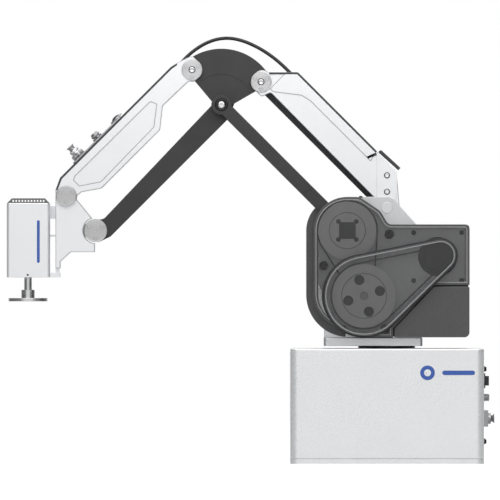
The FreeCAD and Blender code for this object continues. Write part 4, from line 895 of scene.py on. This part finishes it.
def make_front_fittings():
    """The fitting pad with the teaching button, the signal connector and the air fitting."""
    pad_points = rounded_rectangle((81.9, -11), (147.9, 11), 3.5)
    mesh = bmesh.new()
    rows = [[mesh.verts.new(on_front_link(along, out, y) * MM) for along, y in pad_points]
            for out in (LINK_FACE + 0.05, PAD_TOP)]
    for quad in zip(rows[0], rows[0][1:] + rows[0][:1], rows[1][1:] + rows[1][:1], rows[1]):
        mesh.faces.new(quad)
    mesh.faces.new(rows[0])
    mesh.faces.new(rows[1])
    bmesh.ops.recalc_face_normals(mesh, faces=mesh.faces)
    data = bpy.data.meshes.new("fitting_pad")
    mesh.to_mesh(data)
    mesh.free()
    pad = new_piece("fitting_pad", data, "grey_metal", "front_link")
    round_edges(pad, 0.35)
    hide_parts("signal_socket")
    turn = facing(OUTWARD)

    def fitting(name, profile, along, out, material, body="front_link", **extra):
        return new_piece(name, lathe_mesh(name, profile, 96, **extra), material, body,
                         on_front_link(along, out) * MM, turn)

    fitting("button_ring", [(5.3, 0), (7.2, 0), (7.2, 1.0), (6.8, 1.6), (5.6, 1.6), (5.3, 1.3), (5.3, 0)],
            BUTTON_ALONG, PAD_TOP, "grey_metal")
    dome = [(0, 0), (5.1, 0), (5.1, 0.9)]
    dome += [(5.1 * math.cos(math.radians(turn_up)), 0.9 + 2.5 * math.sin(math.radians(turn_up)))
             for turn_up in range(10, 90, 10)]
    cap = fitting("button_cap", dome + [(0, 3.4)], BUTTON_ALONG, PAD_TOP, "black_plastic", "button")
    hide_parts("teach_button")

    fitting("signal_nut", [(3.9, 0), (5.6, 0), (5.6, 1.6), (5.2, 1.9), (3.9, 1.9)], SIGNAL_ALONG, PAD_TOP,
            "grey_metal", ribs=6, rib_depth=0.7, rib_rows=(1, 2))
    fitting("signal_body", [(0, 2.4), (2.6, 2.4), (2.6, 6.4), (3.1, 6.6), (3.5, 6.6), (3.9, 6.2), (3.9, 4.9),
                            (4.6, 4.7), (4.6, 2.6), (3.9, 2.4), (3.9, 0)], SIGNAL_ALONG, PAD_TOP,
            "grey_metal", ribs=28, rib_depth=0.35, rib_rows=(7, 8))
    for count in range(5):
        lean = math.tau * count / 5
        place = on_front_link(SIGNAL_ALONG + 1.5 * math.cos(lean), PAD_TOP + 2.4, 1.5 * math.sin(lean)) * MM
        pin = lathe_mesh("signal_pin", [(0, 0), (0.35, 0), (0.35, 2.6), (0.15, 2.9), (0, 2.9)], 16)
        new_piece("signal_pin_%d" % (count + 1), pin, "steel", "front_link", place, turn)

    nut = fitting("air_nut", [(2.1, 0), (6.6, 0), (7.0, 0.4), (7.0, 4.2), (6.6, 4.6), (2.1, 4.6)], AIR_ALONG,
                  PAD_TOP, "grey_metal", ribs=6, rib_depth=0.9, rib_rows=(1, 2, 3, 4))
    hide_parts("tool_air_fitting")
    fitting("air_body", [(2.1, 4.0), (5.0, 4.4), (5.0, 5.2), (4.6, 5.4), (4.6, 5.9), (5.0, 6.1), (5.0, 8.6),
                         (4.6, 9.2), (2.1, 9.4)], AIR_ALONG, PAD_TOP, "steel", ribs=24, rib_depth=0.3,
            rib_rows=(5, 6))
    fitting("air_collet", [(2.1, 6.0), (2.1, 13.4), (2.6, 13.8), (4.2, 13.8), (4.4, 13.4), (4.2, 12.9),
                           (3.3, 12.4), (3.2, 9.0)], AIR_ALONG, PAD_TOP, "grey_metal")


def make_painted_panel_shadows():
    """Painted shadow lines: thin grey bands round the raised band of the rear link and the sunk panel of the front
    link.
    """
    rear = link_frame(pivot("rear_link_pivot"), 45)
    band = rounded_path([rear(corner) for corner in (
        (137.5, 19.4, 4), (127.5, 21.6, 6), (44.5, 21.6), (46.8, 31.8, 2), (155.8, 31.8, 4), (163.5, 24.2),
        (163.5, 2), (160, 2))])
    front = link_frame(pivot("front_link_pivot"), -45)
    panel = rounded_path([front(corner) for corner in (
        (50.5, 7.4, 3), (47.9, 0.4, 1), (66.4, -13.8, 4), (141.5, -15, 4), (159.7, -2.7, 1.5), (159.7, 6, 1),
        (155.2, 7.9, 1))])
    # Grey bands of painted shadow along the band's and the panel's outlines.
    for end, low, high in both_sides(30.1, 30.6):
        band_piece("rear_band_painted_shadow_" + end, inset(band, -0.7), inset(band, 0), low, high, "grey_metal",
                   "rear_link", 0.05)
        band_piece("front_panel_painted_shadow_" + end, panel, inset(panel, 0.8), low, high, "grey_metal",
                   "front_link", 0.05)


def bracket_path():
    """The side view of the wrist bracket, cut away round the wrist disc."""
    wrist = pivot("wrist_pivot")
    foot = pivot("front_link_pivot") - pivot("elbow")
    clear, front, crown = 12.6, 39.4, 10.5
    points = [(1.0, -12.56), (1.0, -21.1), (24.6, -21.1), (34.9, -30.5), (34.9, -37), (front, -37)]
    points += [(foot.x + crown * math.cos(math.radians(turn)), foot.z + crown * math.sin(math.radians(turn)))
               for turn in range(0, 201, 10)]
    points += [(19.0, 30.7)]
    points += [(clear * math.cos(math.radians(turn)), clear * math.sin(math.radians(turn)))
               for turn in range(73, -86, -10)]
    return [Vector((wrist.x + x, wrist.z + z)) for x, z in points]


def make_shell_painted_edge_shade():
    """Painted shade on the turned edges of the white shells: a thin grey line of painted shade round each side and
    a dark strip of painted shade along each top.
    """
    front = link_frame(pivot("front_link_pivot"), -45)
    rear = link_frame(pivot("rear_link_pivot"), 45)
    front_side = rounded_path([front(corner) for corner in (
        (-10, 2, 8), (-10, 9.9, 5), (4, 14.6, 6), (13, 16.6, 3), (167, 16.6, 4), (179, 11, 6), (185, 4, 7),
        (181, -9.5, 9), (169, -7.2, 4), (162, -7.9, 3), (145.7, -19.3, 6), (64, -19.3, 5), (45.5, -4.4, 5),
        (10, -5.5, 3), (6, -10.5, 6), (-8, -8, 7))])
    rear_side = rounded_path([rear(corner) for corner in (
        (2, -10.5, 9), (15, -1.5, 6), (161, -0.5, 3), (164.5, -9.8, 3), (184.8, -9.8, 9), (184.8, 9.6, 8),
        (176, 12, 6), (156, 32.2, 4), (46.5, 32.2, 2), (43.5, 31.4, 1), (18, 31.4, 3), (-10, 8, 5),
        (-10, -4, 6))])
    front_top = [front(corner) for corner in ((6, 15.1), (13, 16.7), (167, 16.7), (178.6, 11.3), (177.5, 9.8),
                                              (166.2, 14.6), (13.8, 14.6), (6.9, 13.5))]
    rear_top = [rear(corner) for corner in ((46, 32.3), (156, 32.3), (176, 12.3), (174.6, 11.0),
                                            (155.2, 30.4), (46.8, 30.4))]
    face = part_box("wrist_bracket")[1].y / MM
    # Thin grey bands along each shell's outline: painted shade on its turned edges.
    for name, path, top, body in (("front_painted_edge_shade_", front_side, 31.0, "front_link"),
                                  ("rear_painted_edge_shade_", rear_side, 30.35, "rear_link"),
                                  ("bracket_painted_edge_shade_", bracket_path(), face + 0.12, "wrist")):
        for end, low, high in both_sides(top - 0.4, top):
            band_piece(name + end, inset(path, -0.05), inset(path, 0.55), low, high, "grey_metal", body, 0.05)
    # Dark strips along the tops of the links: painted shade on their rounded top edges.
    for end, low, high in both_sides(30.6, 31.1):
        prism_piece("front_top_painted_shade_" + end, front_top, low, high, "motor_black", "front_link", 0.1)
    for end, low, high in both_sides(31.0, 31.5):
        prism_piece("rear_top_painted_shade_" + end, rear_top, low, high, "motor_black", "rear_link", 0.1)


# ---- tool end ----

def make_head_screws():
    """One small sunk screw low on each side of the end housing."""
    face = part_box("end_housing")[1].y / MM
    tool = pivot("tool_turn")
    for side, end in ((1, "near"), (-1, "far")):
        add_screw("head_screw_" + end, (tool.x, side * (face - 0.1), 185.2), (0, side, 0), 1.0, 0.3, 0.5,
                  "screw_black", "wrist", dome=False)


# ---- build ----

scene.view_settings.view_transform = "Standard"
make_camera()
make_world()
area_light("overhead", (0.1, -0.5, 2.6), (0.1, -0.5, 0.0), (5.0, 7.0), 62)
area_light("front_key", (0.05, 0.6, 0.62), (-0.02, 0.09, 0.08), (1.4, 0.3), 3.0)
make_floor()
dress_nodes()
make_discs()
make_rear_wall()
make_badges()
make_turret_trim()
make_cover_painted_edge_light()
make_front_lip()
make_pulley_faces()
make_elbow_screws()
make_rear_link_trim()
make_cable()
make_front_fittings()
make_painted_panel_shadows()
make_shell_painted_edge_shade()
make_head_screws()
